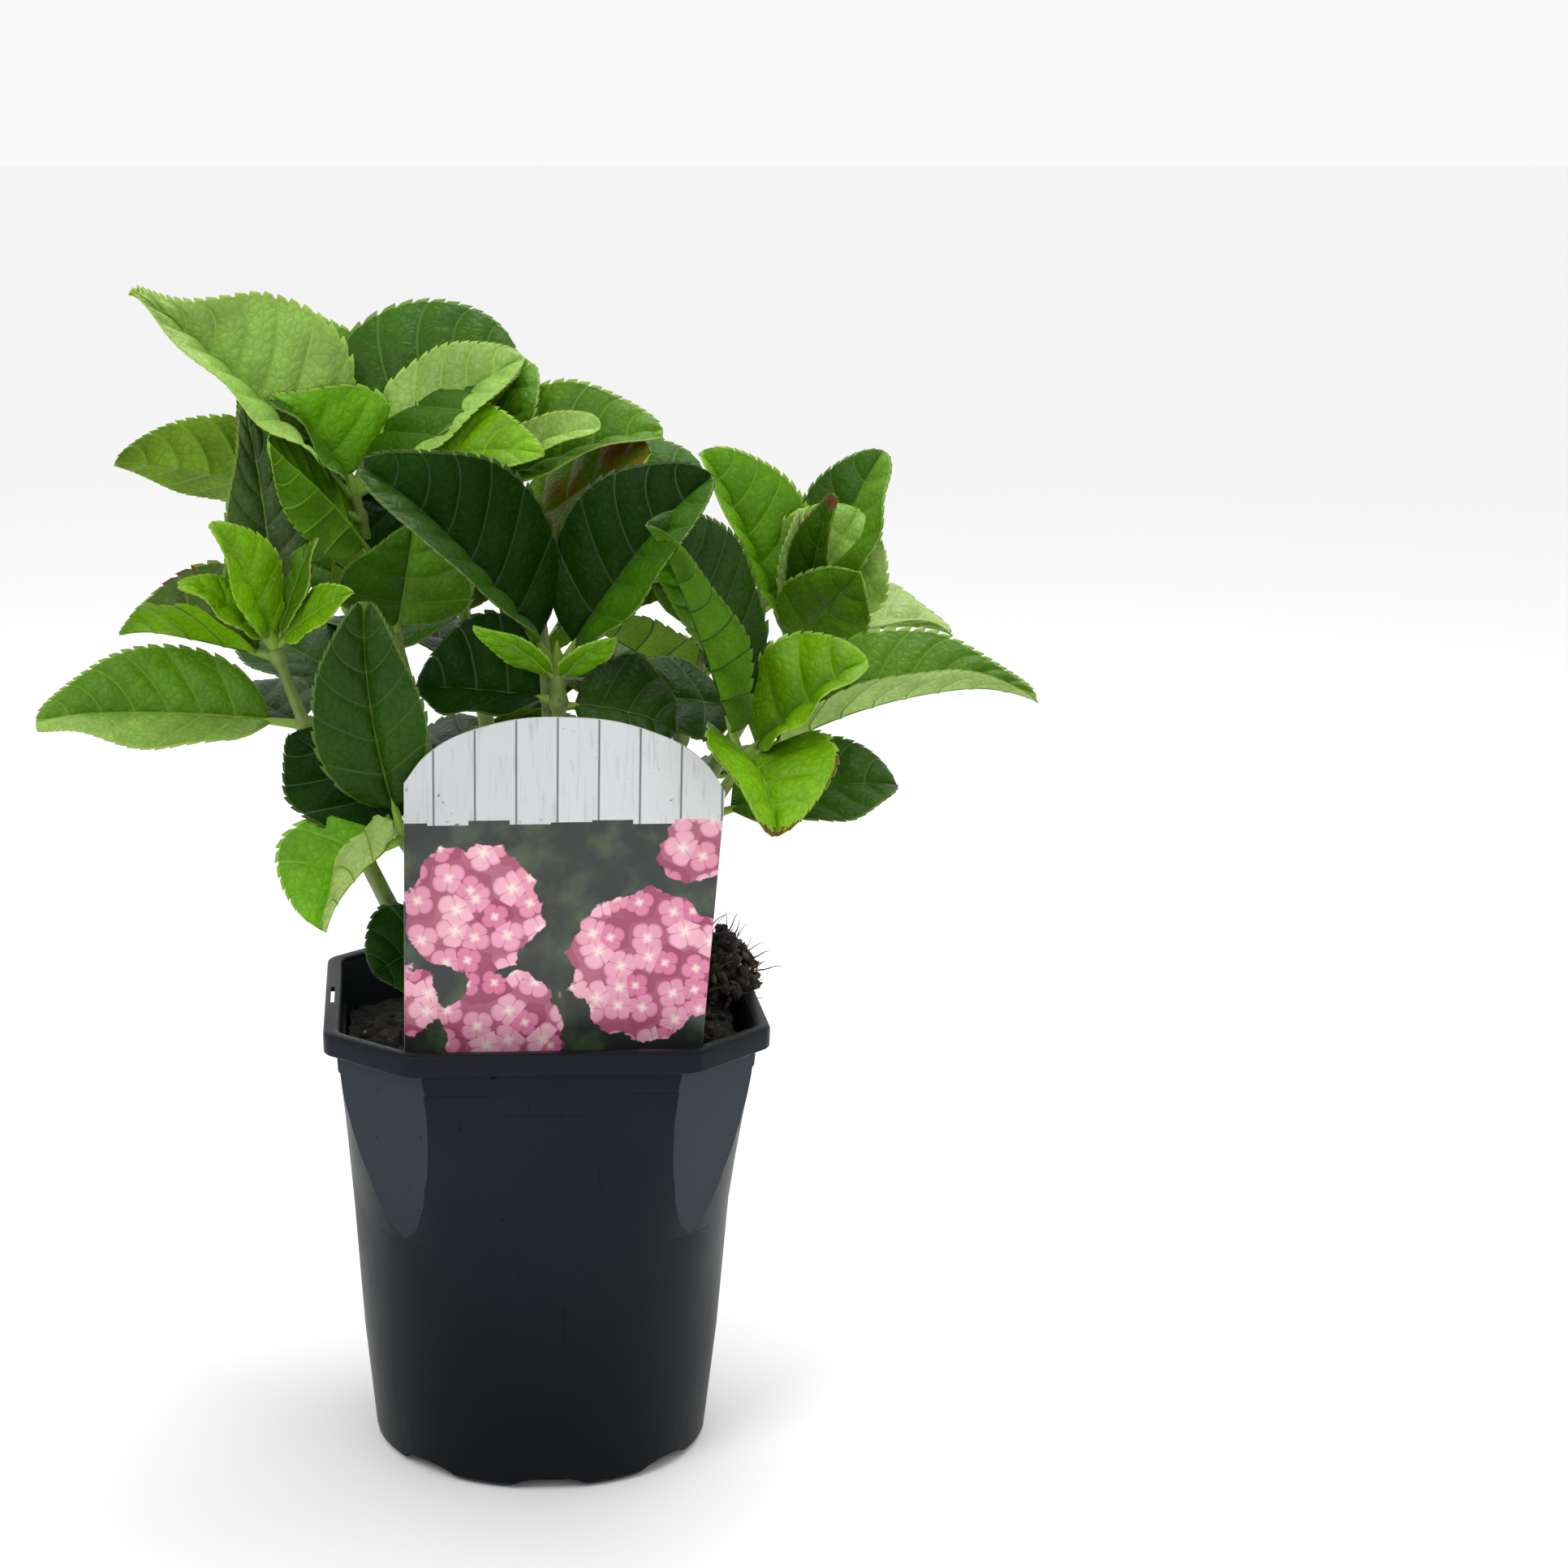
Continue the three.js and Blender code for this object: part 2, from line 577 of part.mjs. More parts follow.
function place(name, solid, material) {
  const mesh = new THREE.Mesh(toGeometry(solid), material);
  mesh.name = name;
  group.add(mesh);
}

const shoots = Object.entries({ ...SHOOTS, ...FAR_SHOOTS });
const canes = shoots.map(([, shoot]) => shootLimb(shoot, 0, CANE_SHARE, 6, 0));
const caneRoom = shoots.map(([, shoot]) => (
  shootLimb(shoot, past(shoot, 0, -CLEARANCE), CANE_SHARE, 6, CLEARANCE)));
const card = cardSolid(0);
const cardRoom = cardSolid(CLEARANCE);

place("pot", potSolid(), POT_FINISH);
const soilRoom = join([potShell(CLEARANCE), ...caneRoom, cardRoom]);
place("soil", mainBody(soilBlock().subtract(soilRoom)), SOIL_FINISH);
place("label_card", card, CARD_FINISH);
shoots.forEach(([name], i) => place(`cane_${name}`, canes[i], CANE_FINISH));

// Each mass keeps clear of the canes, the card and the masses made before it.
let taken = join([...caneRoom, cardRoom]);
for (const [name, shoot] of shoots) {
  const mass = mainBody(join(massParts(shoot, 0)).subtract(taken));
  place(`mass_${name}`, mass, LEAF_FINISH);
  taken = taken.add(join(massParts(shoot, CLEARANCE)));
}

export default group;
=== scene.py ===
"""Looks of a young potted hydrangea: its pot, soil, label card, canes and leaves."""

from __future__ import annotations

import logging
import math
import random
from collections.abc import Callable
from dataclasses import dataclass, field
from enum import Enum

import bpy
import numpy as np
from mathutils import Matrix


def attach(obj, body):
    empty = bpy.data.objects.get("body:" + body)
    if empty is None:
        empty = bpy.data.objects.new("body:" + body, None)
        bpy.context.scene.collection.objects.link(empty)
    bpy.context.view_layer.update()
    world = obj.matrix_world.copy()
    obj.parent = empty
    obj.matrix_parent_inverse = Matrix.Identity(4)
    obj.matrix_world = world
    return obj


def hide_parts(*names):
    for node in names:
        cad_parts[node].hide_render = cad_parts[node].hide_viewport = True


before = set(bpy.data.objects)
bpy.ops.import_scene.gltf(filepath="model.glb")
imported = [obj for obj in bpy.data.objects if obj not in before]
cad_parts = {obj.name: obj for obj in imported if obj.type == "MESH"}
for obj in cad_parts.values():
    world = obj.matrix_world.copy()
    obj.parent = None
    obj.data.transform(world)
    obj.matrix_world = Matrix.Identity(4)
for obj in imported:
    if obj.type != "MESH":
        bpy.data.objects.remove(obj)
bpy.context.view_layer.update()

LOG = logging.getLogger("hydrangea")
MM = 0.001
BODY = "root"
UP = np.array([0.0, 0.0, 1.0])
Colour = tuple[float, float, float]


# Shader nodes


@dataclass(frozen=True)
class Wire:
    """A value on its way through a material's nodes, with arithmetic."""

    board: Board
    socket: bpy.types.NodeSocket | None

    def __add__(self, other: Wire | float) -> Wire:
        """This plus other."""
        return self.board.maths("ADD", self, other)

    __radd__ = __add__

    def __sub__(self, other: Wire | float) -> Wire:
        """This less other."""
        return self.board.maths("SUBTRACT", self, other)

    def __rsub__(self, other: float) -> Wire:
        """Other less this."""
        return self.board.maths("SUBTRACT", other, self)

    def __mul__(self, other: Wire | float) -> Wire:
        """This times other."""
        return self.board.maths("MULTIPLY", self, other)

    __rmul__ = __mul__

    def __truediv__(self, other: Wire | float) -> Wire:
        """This over other."""
        return self.board.maths("DIVIDE", self, other)

    def __gt__(self, edge: float) -> Wire:
        """1 where this is over the edge, and 0 elsewhere."""
        return self.board.maths("GREATER_THAN", self, edge)

    def apply(self, operation: str, other: Wire | float = 0.0) -> Wire:
        """This put through another Math operation."""
        return self.board.maths(operation, self, other)

    def ease(self, low: float, high: float) -> Wire:
        """A smooth step from 0 at low to 1 at high."""
        return self.board.add(
            "ShaderNodeMapRange",
            {"interpolation_type": "SMOOTHSTEP"},
            {"Value": self, "From Min": low, "From Max": high},
        )


class Board:
    """The node tree of one material."""

    def __init__(self, name: str) -> None:
        """Starts an empty material.

        Args:
            name: The material's name.
        """
        self.material = bpy.data.materials.new(name)
        self.material.use_nodes = True
        self.tree = self.material.node_tree
        self.tree.nodes.clear()
        self.place = self.add("ShaderNodeTexCoord", out="Object")

    def add(
        self,
        kind: str,
        settings: dict | None = None,
        values: dict | None = None,
        out: str | int = 0,
    ) -> Wire:
        """Adds one node and gives one of its outputs.

        Args:
            kind: The node's type.
            settings: Attributes that are set first, such as a Math node's operation.
            values: What each input socket holds or is linked to.
            out: The output wanted, by name or number.

        Returns:
            The output as a Wire.
        """
        node = self.tree.nodes.new(kind)
        for key, value in (settings or {}).items():
            setattr(node, key, value)
        for key, value in (values or {}).items():
            if isinstance(value, Wire):
                self.tree.links.new(value.socket, node.inputs[key])
            else:
                node.inputs[key].default_value = value
        return Wire(self, node.outputs[out] if node.outputs else None)

    def maths(self, operation: str, first: Wire | float, second: Wire | float) -> Wire:
        """A Math node.

        Args:
            operation: What it works out.
            first: Its first value.
            second: Its second value.

        Returns:
            The result.
        """
        return self.add("ShaderNodeMath", {"operation": operation}, {0: first, 1: second})

    def mix(self, share: Wire | float, first: Wire | Colour, second: Wire | Colour) -> Wire:
        """A colour between two others.

        Args:
            share: How much of the second colour.
            first: The colour at share 0.
            second: The colour at share 1.

        Returns:
            The mixed colour.
        """
        ends = [c if isinstance(c, Wire) else (*c, 1.0) for c in (first, second)]
        return self.add(
            "ShaderNodeMix",
            {"data_type": "RGBA"},
            {"Factor": share, 6: ends[0], 7: ends[1]},
            out=2,
        )

    def split(self, vector: Wire) -> tuple[Wire, ...]:
        """A vector's three parts, from one node."""
        node = self.add("ShaderNodeSeparateXYZ", {}, {0: vector}).socket.node
        return tuple(Wire(self, socket) for socket in node.outputs)

    def drawn_out(self, share: float) -> Wire:
        """The piece's coordinates with heights scaled, so that noise there makes streaks."""
        return self.add(
            "ShaderNodeMapping", {}, {"Vector": self.place, "Scale": (1.0, 1.0, share)}
        )

    def noise(self, size: float, detail: float = 3.0, place: Wire | None = None) -> Wire:
        """Smooth noise whose bumps are about this many metres across.

        Args:
            size: Size of a bump, in metres.
            detail: How much finer noise is added.
            place: Where it is read. The piece's own coordinates by default.

        Returns:
            A value around 0.5.
        """
        return self.add(
            "ShaderNodeTexNoise",
            {},
            {"Vector": place or self.place, "Scale": 1.0 / size, "Detail": detail},
        )

    def cells(
        self,
        size: float,
        out: str,
        place: Wire | None = None,
        randomness: float = 1.0,
        **settings: str,
    ) -> Wire:
        """Irregular cells of about this many metres across.

        Args:
            size: Size of a cell, in metres.
            out: The output wanted.
            place: Where it is read. The piece's own coordinates by default.
            randomness: How irregular the cells are, from 0 to 1.
            **settings: The node's attributes.

        Returns:
            The output.
        """
        return self.add(
            "ShaderNodeTexVoronoi",
            settings,
            {"Vector": place or self.place, "Scale": 1.0 / size, "Randomness": randomness},
            out=out,
        )

    def bump(self, height: Wire, depth: float, strength: float = 1.0) -> Wire:
        """A normal from a height.

        Args:
            height: The height, from 0 to 1.
            depth: How deep a height of 1 is, in metres.
            strength: How much of it shows.

        Returns:
            The bent normal.
        """
        return self.add(
            "ShaderNodeBump",
            {},
            {"Height": height, "Distance": depth, "Strength": strength},
            out="Normal",
        )

    def finish(
        self, colour: Wire | Colour, roughness: Wire | float, **more: Wire | float
    ) -> bpy.types.Material:
        """Ends the material in one Principled shader.

        Args:
            colour: Base colour.
            roughness: Roughness.
            **more: Other sockets, with underscores for spaces.

        Returns:
            The finished material.
        """
        values = {"Base Color": colour if isinstance(colour, Wire) else (*colour, 1.0)}
        values["Roughness"] = roughness
        values.update({key.replace("_", " "): value for key, value in more.items()})
        shader = self.add("ShaderNodeBsdfPrincipled", {}, values, out="BSDF")
        self.add("ShaderNodeOutputMaterial", {}, {"Surface": shader})
        return self.material


# Finishes


def lighter(colour: Colour, share: float) -> Colour:
    """A colour scaled towards or away from black."""
    return tuple(min(c * share, 1.0) for c in colour)


@dataclass(frozen=True)
class BladeFinish:
    """The upper or under skin of a leaf: waxy, finely netted, a little uneven, with painted shade
    darkening the creases of its net.
    """

    name: str
    colour: Colour
    roughness: float = 0.42
    net_depth: float = 0.0007
    rust: float = 0.0
    sheen: float = 0.22
    cell_size: float = 0.0029
    cell_bend: float = 0.0034
    crease_shade_share: float = 0.34
    rust_colour: Colour = (0.16, 0.035, 0.006)

    def build(self) -> bpy.types.Material:
        """The skin's material.

        Returns:
            The upper or under skin, ready for a leaf.
        """
        board = Board(self.name)
        broad = board.noise(0.026, 2.0)
        fine = board.noise(0.0035, 3.0)
        shade = broad.ease(0.3, 0.7) * 0.7 + fine * 0.3
        colour = board.mix(shade, lighter(self.colour, 0.68), lighter(self.colour, 1.3))
        wavy = board.add(
            "ShaderNodeVectorMath",
            {"operation": "ADD"},
            {0: board.place, 1: board.noise(0.0042, 2.0) * self.cell_bend},
            out="Vector",
        )
        cells = board.cells(self.cell_size, "Distance", wavy, feature="DISTANCE_TO_EDGE")
        # Painted shade: the creases between the net's cells are darkened towards a darker copy of
        # the colour.
        crease_shade = cells.ease(0.15, 0.0) * self.crease_shade_share
        colour = board.mix(crease_shade, colour, lighter(self.colour, 0.42))
        if self.rust > 0:
            blotch = board.noise(0.014, 4.0).ease(0.62 - self.rust * 0.25, 0.7)
            colour = board.mix(blotch, colour, self.rust_colour)
        net = cells.ease(0.0, 0.4)
        height = net * 0.24 + fine * 0.5 + board.noise(0.0052, 1.5) * 0.8
        return board.finish(
            colour,
            broad * 0.14 + (self.roughness - 0.07),
            Normal=board.bump(height, self.net_depth, 0.85),
            Specular_IOR_Level=self.sheen,
        )


@dataclass(frozen=True)
class SapFinish:
    """Ribs, veins, stalks and leaf edges: smooth and evenly coloured."""

    name: str
    colour: Colour
    roughness: float = 0.45

    def build(self) -> bpy.types.Material:
        """The material of ribs and stalks.

        Returns:
            The finished material.
        """
        board = Board(self.name)
        shade = board.noise(0.006, 3.0)
        colour = board.mix(shade, lighter(self.colour, 0.8), lighter(self.colour, 1.2))
        normal = board.bump(shade, 0.0001, 0.5)
        return board.finish(colour, self.roughness, Normal=normal, Specular_IOR_Level=0.25)


@dataclass(frozen=True)
class CaneFinish:
    """Green young bark with brown flecks, woody near the soil."""

    green: Colour = (0.13, 0.19, 0.035)
    woody: Colour = (0.16, 0.12, 0.06)
    fleck: Colour = (0.07, 0.035, 0.015)
    woody_below: float = 0.185
    fleck_size: float = 0.0036

    def build(self) -> bpy.types.Material:
        """The canes' material.

        Returns:
            The finished material.
        """
        board = Board("cane_bark")
        height = board.split(board.place)[2]
        grain = board.noise(0.0045, 4.0)
        age = (height + grain * 0.02).ease(self.woody_below + 0.03, self.woody_below - 0.02)
        bark = board.mix(age, self.green, self.woody)
        bark = board.mix(grain.ease(0.3, 0.75) * 0.5, bark, lighter(self.green, 1.7))
        spots = board.cells(self.fleck_size, "Distance").ease(0.2, 0.14) * 0.6
        colour = board.mix(spots, bark, self.fleck)
        normal = board.bump(grain * 0.6 + spots, 0.0004, 0.6)
        return board.finish(colour, grain * 0.2 + 0.42, Normal=normal)


@dataclass(frozen=True)
class PotFinish:
    """Dark slate plastic: a little dusty, with dried streaks and splashes, and darkened towards its
    foot by painted shade.
    """

    name: str = "pot_plastic"
    colour: Colour = (0.0056, 0.0086, 0.0124)
    dust: Colour = (0.014, 0.018, 0.023)
    mud: Colour = (0.0025, 0.002, 0.002)
    # Painted shade: the colour that the plastic darkens to at its foot.
    foot: Colour = (0.0020, 0.0034, 0.0050)
    foot_shade_fade: float = 0.125

    def build(self) -> bpy.types.Material:
        """The pot's material.

        Returns:
            The finished material.
        """
        board = Board(self.name)
        broad = board.noise(0.06, 4.0)
        fine = board.noise(0.0016, 2.0)
        dusty = broad.ease(0.42, 0.75) * 0.35 + fine.ease(0.55, 0.8) * 0.18
        # Painted shade: darker towards the foot of the pot.
        above_foot_shade = board.split(board.place)[2].ease(0.0, self.foot_shade_fade)
        colour = board.mix(dusty, self.colour, self.dust)
        colour = board.mix(above_foot_shade, self.foot, colour)
        marks = board.noise(0.0028, 3.0, board.drawn_out(0.12)).ease(0.71, 0.76)
        specks = board.noise(0.0024, 1.0).ease(0.765, 0.785)
        colour = board.mix(marks.apply("MAXIMUM", specks) * 0.8, colour, self.mud)
        height = fine * 0.7 + broad
        return board.finish(
            colour,
            dusty * 0.35 + 0.36,
            Normal=board.bump(height, 0.00012, 0.5),
            Specular_IOR_Level=0.1,
        )


@dataclass(frozen=True)
class SoilFinish:
    """Moist dark peat with paler crumbs."""

    name: str = "peat"
    dark: Colour = (0.010, 0.0075, 0.0055)
    pale: Colour = (0.085, 0.058, 0.036)

    def build(self) -> bpy.types.Material:
        """The soil's material.

        Returns:
            The finished material.
        """
        board = Board(self.name)
        crumbs = board.noise(0.0028, 6.0)
        lumps = board.noise(0.011, 3.0)
        shade = crumbs.ease(0.42, 0.78) * lumps.ease(0.25, 0.7)
        colour = board.mix(shade, self.dark, self.pale)
        height = crumbs + lumps * 0.5
        return board.finish(colour, 0.95 - crumbs * 0.15, Normal=board.bump(height, 0.0016, 1.0))


@dataclass(frozen=True)
class ChipFinish:
    """Bits in the soil: bark, roots or white grit."""

    name: str
    colour: Colour

    def build(self) -> bpy.types.Material:
        """The bits' material.

        Returns:
            The finished material.
        """
        board = Board(self.name)
        grain = board.noise(0.0012, 3.0)
        colour = board.mix(grain, lighter(self.colour, 0.5), lighter(self.colour, 1.4))
        return board.finish(colour, 0.85, Normal=board.bump(grain, 0.0004, 0.8))


class Tint(Enum):
    """Leaf colours, dealt out leaf by leaf: partly the leaves' own greens, partly painted light and
    shade, as the silver tint carries painted sheen, the lime one painted glow of light through the
    leaf, and the deep and shade ones painted shade.
    """

    # Partly a pale grey-green, partly painted sheen of the bright surroundings' reflection.
    SILVER = (0.235, 0.410, 0.062)
    PALE = (0.360, 0.520, 0.140)
    # Partly young leaves' own yellow green, partly painted glow of light shining through them.
    LIME = (0.150, 0.350, 0.002)
    BRIGHT = (0.115, 0.320, 0.002)
    MID = (0.080, 0.205, 0.005)
    FOREST = (0.034, 0.106, 0.002)
    # Partly the leaves' own deep green, partly painted shade.
    DEEP = (0.018, 0.060, 0.002)
    SHADE = (0.007, 0.032, 0.001)
    OLIVE = (0.060, 0.120, 0.002)
    DUSKY = (0.046, 0.088, 0.018)
    RUSTY = (0.078, 0.150, 0.003)
    UNDER = (0.170, 0.310, 0.020)


SHEEN = {
    Tint.SILVER: 0.34,
    Tint.PALE: 0.3,
    Tint.MID: 0.16,
    Tint.FOREST: 0.12,
    Tint.RUSTY: 0.06,
    Tint.DEEP: 0.12,
    Tint.SHADE: 0.05,
}
PLAIN_SHEEN = 0.2
# Veins and ribs are paled less on the darker tints, whose darkness is partly painted shade.
FAINT_VEINS = {Tint.FOREST: 0.5, Tint.DEEP: 0.35, Tint.SHADE: 0.15}
VEIN_PALENESS, RIB_PALENESS, EDGE_PALENESS = 0.08, 0.38, 0.45
RUST_SHARE = 0.9
RIB_COLOUR = (0.30, 0.42, 0.06)
STALK_COLOUR = (0.20, 0.33, 0.04)
SCORCH_COLOUR = (0.13, 0.055, 0.016)
# Painted sheen: lighter plastic and dust colours for the flat corner faces, where they catch the
# light.
CORNER_SLATE_PAINTED_SHEEN = (0.018, 0.025, 0.034)
CORNER_DUST_PAINTED_SHEEN = (0.027, 0.035, 0.045)


# Mesh helpers


def metres(sizes: tuple[float, ...]) -> tuple[float, ...]:
    """Sizes in millimetres, given in metres."""
    return tuple(size * MM for size in sizes)


def deselect_all() -> None:
    """Leaves every object unselected."""
    if bpy.context.object and bpy.context.object.mode != "OBJECT":
        bpy.ops.object.mode_set(mode="OBJECT")
    bpy.ops.object.select_all(action="DESELECT")


def start_piece(name: str) -> bpy.types.Object:
    """Makes a new empty mesh object the active one, in edit mode.

    Args:
        name: The piece's name.

    Returns:
        The object.
    """
    deselect_all()
    bpy.ops.mesh.primitive_plane_add(size=0.01)
    piece = bpy.context.object
    piece.name = piece.data.name = name
    bpy.ops.object.mode_set(mode="EDIT")
    bpy.ops.mesh.select_all(action="SELECT")
    bpy.ops.mesh.delete(type="VERT")
    return piece


def activate(piece: bpy.types.Object) -> None:
    """Leaves a piece the only one selected, and active."""
    deselect_all()
    piece.select_set(True)
    bpy.context.view_layer.objects.active = piece


def select_where(
    piece: bpy.types.Object, kind: str, test: Callable[[bpy.types.bpy_struct], bool]
) -> int:
    """Selects the vertices, edges or faces that pass a test.

    Args:
        piece: The object in edit mode.
        kind: "VERT", "EDGE" or "FACE".
        test: Takes one mesh element and says whether to select it.

    Returns:
        How many are selected.
    """
    bpy.ops.mesh.select_mode(type=kind)
    bpy.ops.mesh.select_all(action="DESELECT")
    bpy.ops.object.mode_set(mode="OBJECT")
    mesh = piece.data
    elements = {"VERT": mesh.vertices, "EDGE": mesh.edges, "FACE": mesh.polygons}[kind]
    chosen = [bool(test(element)) for element in elements]
    elements.foreach_set("select", chosen)
    bpy.ops.object.mode_set(mode="EDIT")
    return sum(chosen)


def close_up(merge: float) -> None:
    """Merges doubles of the mesh in edit mode, points its faces outwards and leaves edit mode.

    Args:
        merge: How near doubles are, in millimetres.
    """
    bpy.ops.mesh.select_mode(type="VERT")
    bpy.ops.mesh.select_all(action="SELECT")
    bpy.ops.mesh.remove_doubles(threshold=merge * MM)
    bpy.ops.mesh.normals_make_consistent()
    bpy.ops.object.mode_set(mode="OBJECT")


def apply_modifier(piece: bpy.types.Object, kind: str, **settings: object) -> None:
    """Adds a modifier to a piece and applies it.

    Args:
        piece: The object.
        kind: The modifier's type.
        **settings: Its settings.
    """
    activate(piece)
    modifier = piece.modifiers.new(kind.lower(), kind)
    for key, value in settings.items():
        setattr(modifier, key, value)
    bpy.ops.object.modifier_apply(modifier=modifier.name)


def cut_out(piece: bpy.types.Object, cutter: bpy.types.Object) -> None:
    """Takes a cutter's shape out of a piece, and the cutter away."""
    apply_modifier(piece, "BOOLEAN", operation="DIFFERENCE", object=cutter, solver="EXACT")
    bpy.data.objects.remove(cutter)


def smooth(piece: bpy.types.Object, angle: float) -> None:
    """Shades a piece smooth apart from edges sharper than an angle in degrees."""
    activate(piece)
    bpy.ops.object.shade_smooth_by_angle(angle=math.radians(angle))


def dress(piece: bpy.types.Object, *materials: bpy.types.Material) -> None:
    """Gives a piece these materials and no others."""
    piece.data.materials.clear()
    for material in materials:
        piece.data.materials.append(material)


def settle(piece: bpy.types.Object, nodes: list[str]) -> bpy.types.Object:
    """Ties a finished piece to the pot's body and hides the plain nodes that it stands for.

    Args:
        piece: The finished object, at the origin.
        nodes: The plain nodes that it replaces.

    Returns:
        The piece.
    """
    deselect_all()
    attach(piece, BODY)
    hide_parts(*nodes)
    return piece


@dataclass
class MeshStock:
    """Vertices, faces and material numbers gathered for one joined mesh."""

    vertices: list[np.ndarray] = field(default_factory=list)
    faces: list[np.ndarray] = field(default_factory=list)
    slots: list[np.ndarray] = field(default_factory=list)
    count: int = 0

    def put(self, vertices: np.ndarray, faces: np.ndarray, slots: np.ndarray) -> None:
        """Adds one shape.

        Args:
            vertices: Points in millimetres, one row each.
            faces: Quads as rows of four numbers of this shape's own vertices.
            slots: One material number per face.
        """
        self.vertices.append(vertices)
        self.faces.append(faces + self.count)
        self.slots.append(slots)
        self.count += len(vertices)

    def make(self, name: str, materials: list[bpy.types.Material]) -> bpy.types.Object:
        """Makes the joined mesh as an object.

        Args:
            name: The piece's name.
            materials: Its materials, in the order of the slot numbers.

        Returns:
            The new object.
        """
        points = np.concatenate(self.vertices) * MM
        faces = np.concatenate(self.faces)
        mesh = bpy.data.meshes.new(name)
        mesh.from_pydata(points.tolist(), [], faces.tolist())
        for material in materials:
            mesh.materials.append(material)
        slots = np.concatenate(self.slots).astype(np.int32)
        mesh.polygons.foreach_set("material_index", slots)
        mesh.polygons.foreach_set("use_smooth", np.ones(len(faces), bool))
        mesh.update()
        piece = bpy.data.objects.new(name, mesh)
        bpy.context.scene.collection.objects.link(piece)
        return piece


def tube(points: np.ndarray, radii: np.ndarray, sides: int) -> tuple[np.ndarray, np.ndarray]:
    """A closed round tube through points.

    Args:
        points: The centre line, one row each, in millimetres.
        radii: Radius at each point, or one per point and side.
        sides: How many sides it has.

    Returns:
        Its vertices and its quads. The ends close on their middle points.
    """
    along = np.gradient(points, axis=0)
    along /= np.linalg.norm(along, axis=1, keepdims=True)
    across = np.cross([0.0, 1.0, 0.0], along)
    across /= np.linalg.norm(across, axis=1, keepdims=True)
    upward = np.cross(along, across)
    angle = np.arange(sides) * 2 * math.pi / sides
    radii = np.asarray(radii, float)
    radii = radii[:, None] * np.ones(sides) if radii.ndim == 1 else radii
    ring = (
        across[:, None, :] * (radii * np.cos(angle))[..., None]
        + upward[:, None, :] * (radii * np.sin(angle))[..., None]
    )
    rings = points[:, None, :] + ring
    count = len(points)
    vertices = np.concatenate([rings.reshape(-1, 3), points[:1], points[-1:]])
    step = np.arange(sides)
    square = np.stack([step, (step + 1) % sides, (step + 1) % sides + sides, step + sides], 1)
    quads = [square + row * sides for row in range(count - 1)]
    near = step[::2]
    middle, far = (near + 1) % sides, (near + 2) % sides
    foot, tip = np.full(len(near), count * sides), np.full(len(near), count * sides + 1)
    base = (count - 1) * sides
    start = np.stack([foot, far, middle, near], 1)
    end = np.stack([tip, base + near, base + middle, base + far], 1)
    return vertices, np.concatenate([*quads, start, end])


# Leaves


@dataclass(frozen=True)
class Leaf:
    """One leaf. Angles are in degrees and lengths in millimetres.

    It grows on its shoot at a share of the shoot's length. Its heading is the level
    direction of its tip, rise how far the tip points up, droop how far its centre line
    bends down, fold how far each half is raised, and roll and twist turn the blade
    about its centre line. Belly is where it is widest, and taper draws out its tip.
    Half is the tint of its right half where that catches the light differently, under
    is that of its under side, and scorch is how far tip and edge have turned brown.
    """

    at: float
    heading: float
    rise: float
    length: float
    width: float
    tint: Tint
    droop: float = 9.0
    fold: float = 20.0
    roll: float = 0.0
    twist: float = 0.0
    belly: float = 0.43
    taper: float = 0.12
    half: Tint | None = None
    under: Tint = Tint.UNDER
    scorch: float = 0.0


# The label card as the leaves behind it meet it

CARD_BACK_Y = -54.0
CARD_FOOT_Z = 118.0
CARD_TOP_Z = 262.0
CARD_HALF = 53.0
CARD_LEAN = 2.6
CARD_REACH = 12.0
CARD_CLEAR = 1.0
CARD_FADE = 16.0
CARD_SIDE_FADE = 4.0

# What a leaf is made of: kinds of face, stalk, fields between veins, and teeth

KINDS = ("upper", "vein", "rib", "edge", "under", "scorched")
UNDER_SKIN = KINDS.index("under")
STALK_SHARE = 0.13
FIELD_COUNTS = (4, 8)
TEETH_PER_FIELD = 3
STEPS_PER_TOOTH = 3
TOOTH_SHAPE = np.array([0.0, 0.62, 1.0])
TOOTH_LEAN = np.array([0.0, 0.1, 0.5])
TOOTH_DEPTH = 0.3
TOOTH_GROWTH = 0.025
VEIN_HALF = 0.03
RIB_HALF = 0.42
EDGE_STRIP = 0.28
COLUMNS = 10
FIELD_LENGTH = 10.5
VEIN_LEAD = 0.2

# How a blade swells and thins

ROOT_ROUNDNESS = 0.62
ROOT_HALF = 1.0
TIP_HALF = 0.16
SKIN_THICK = 0.32
RIB_THICK = 0.75
VEIN_SHARE = 0.3
BULGE = 0.65
BULGE_GROWTH = 0.014
RIB_DIP = 0.55
EDGE_FALL = 0.055


def rotate(vectors: np.ndarray, axes: np.ndarray, angles: np.ndarray) -> np.ndarray:
    """Turns vectors about unit axes.

    Args:
        vectors: One vector per row.
        axes: One unit axis per row.
        angles: One angle per row, in radians.

    Returns:
        The turned vectors.
    """
    cos = np.cos(angles)[..., None]
    sin = np.sin(angles)[..., None]
    dot = np.sum(vectors * axes, -1, keepdims=True)
    return vectors * cos + np.cross(axes, vectors) * sin + axes * dot * (1 - cos)


def smoothstep(value: np.ndarray) -> np.ndarray:
    """A smooth step from 0 to 1 over values from 0 to 1."""
    value = np.clip(value, 0.0, 1.0)
    return value * value * (3 - 2 * value)


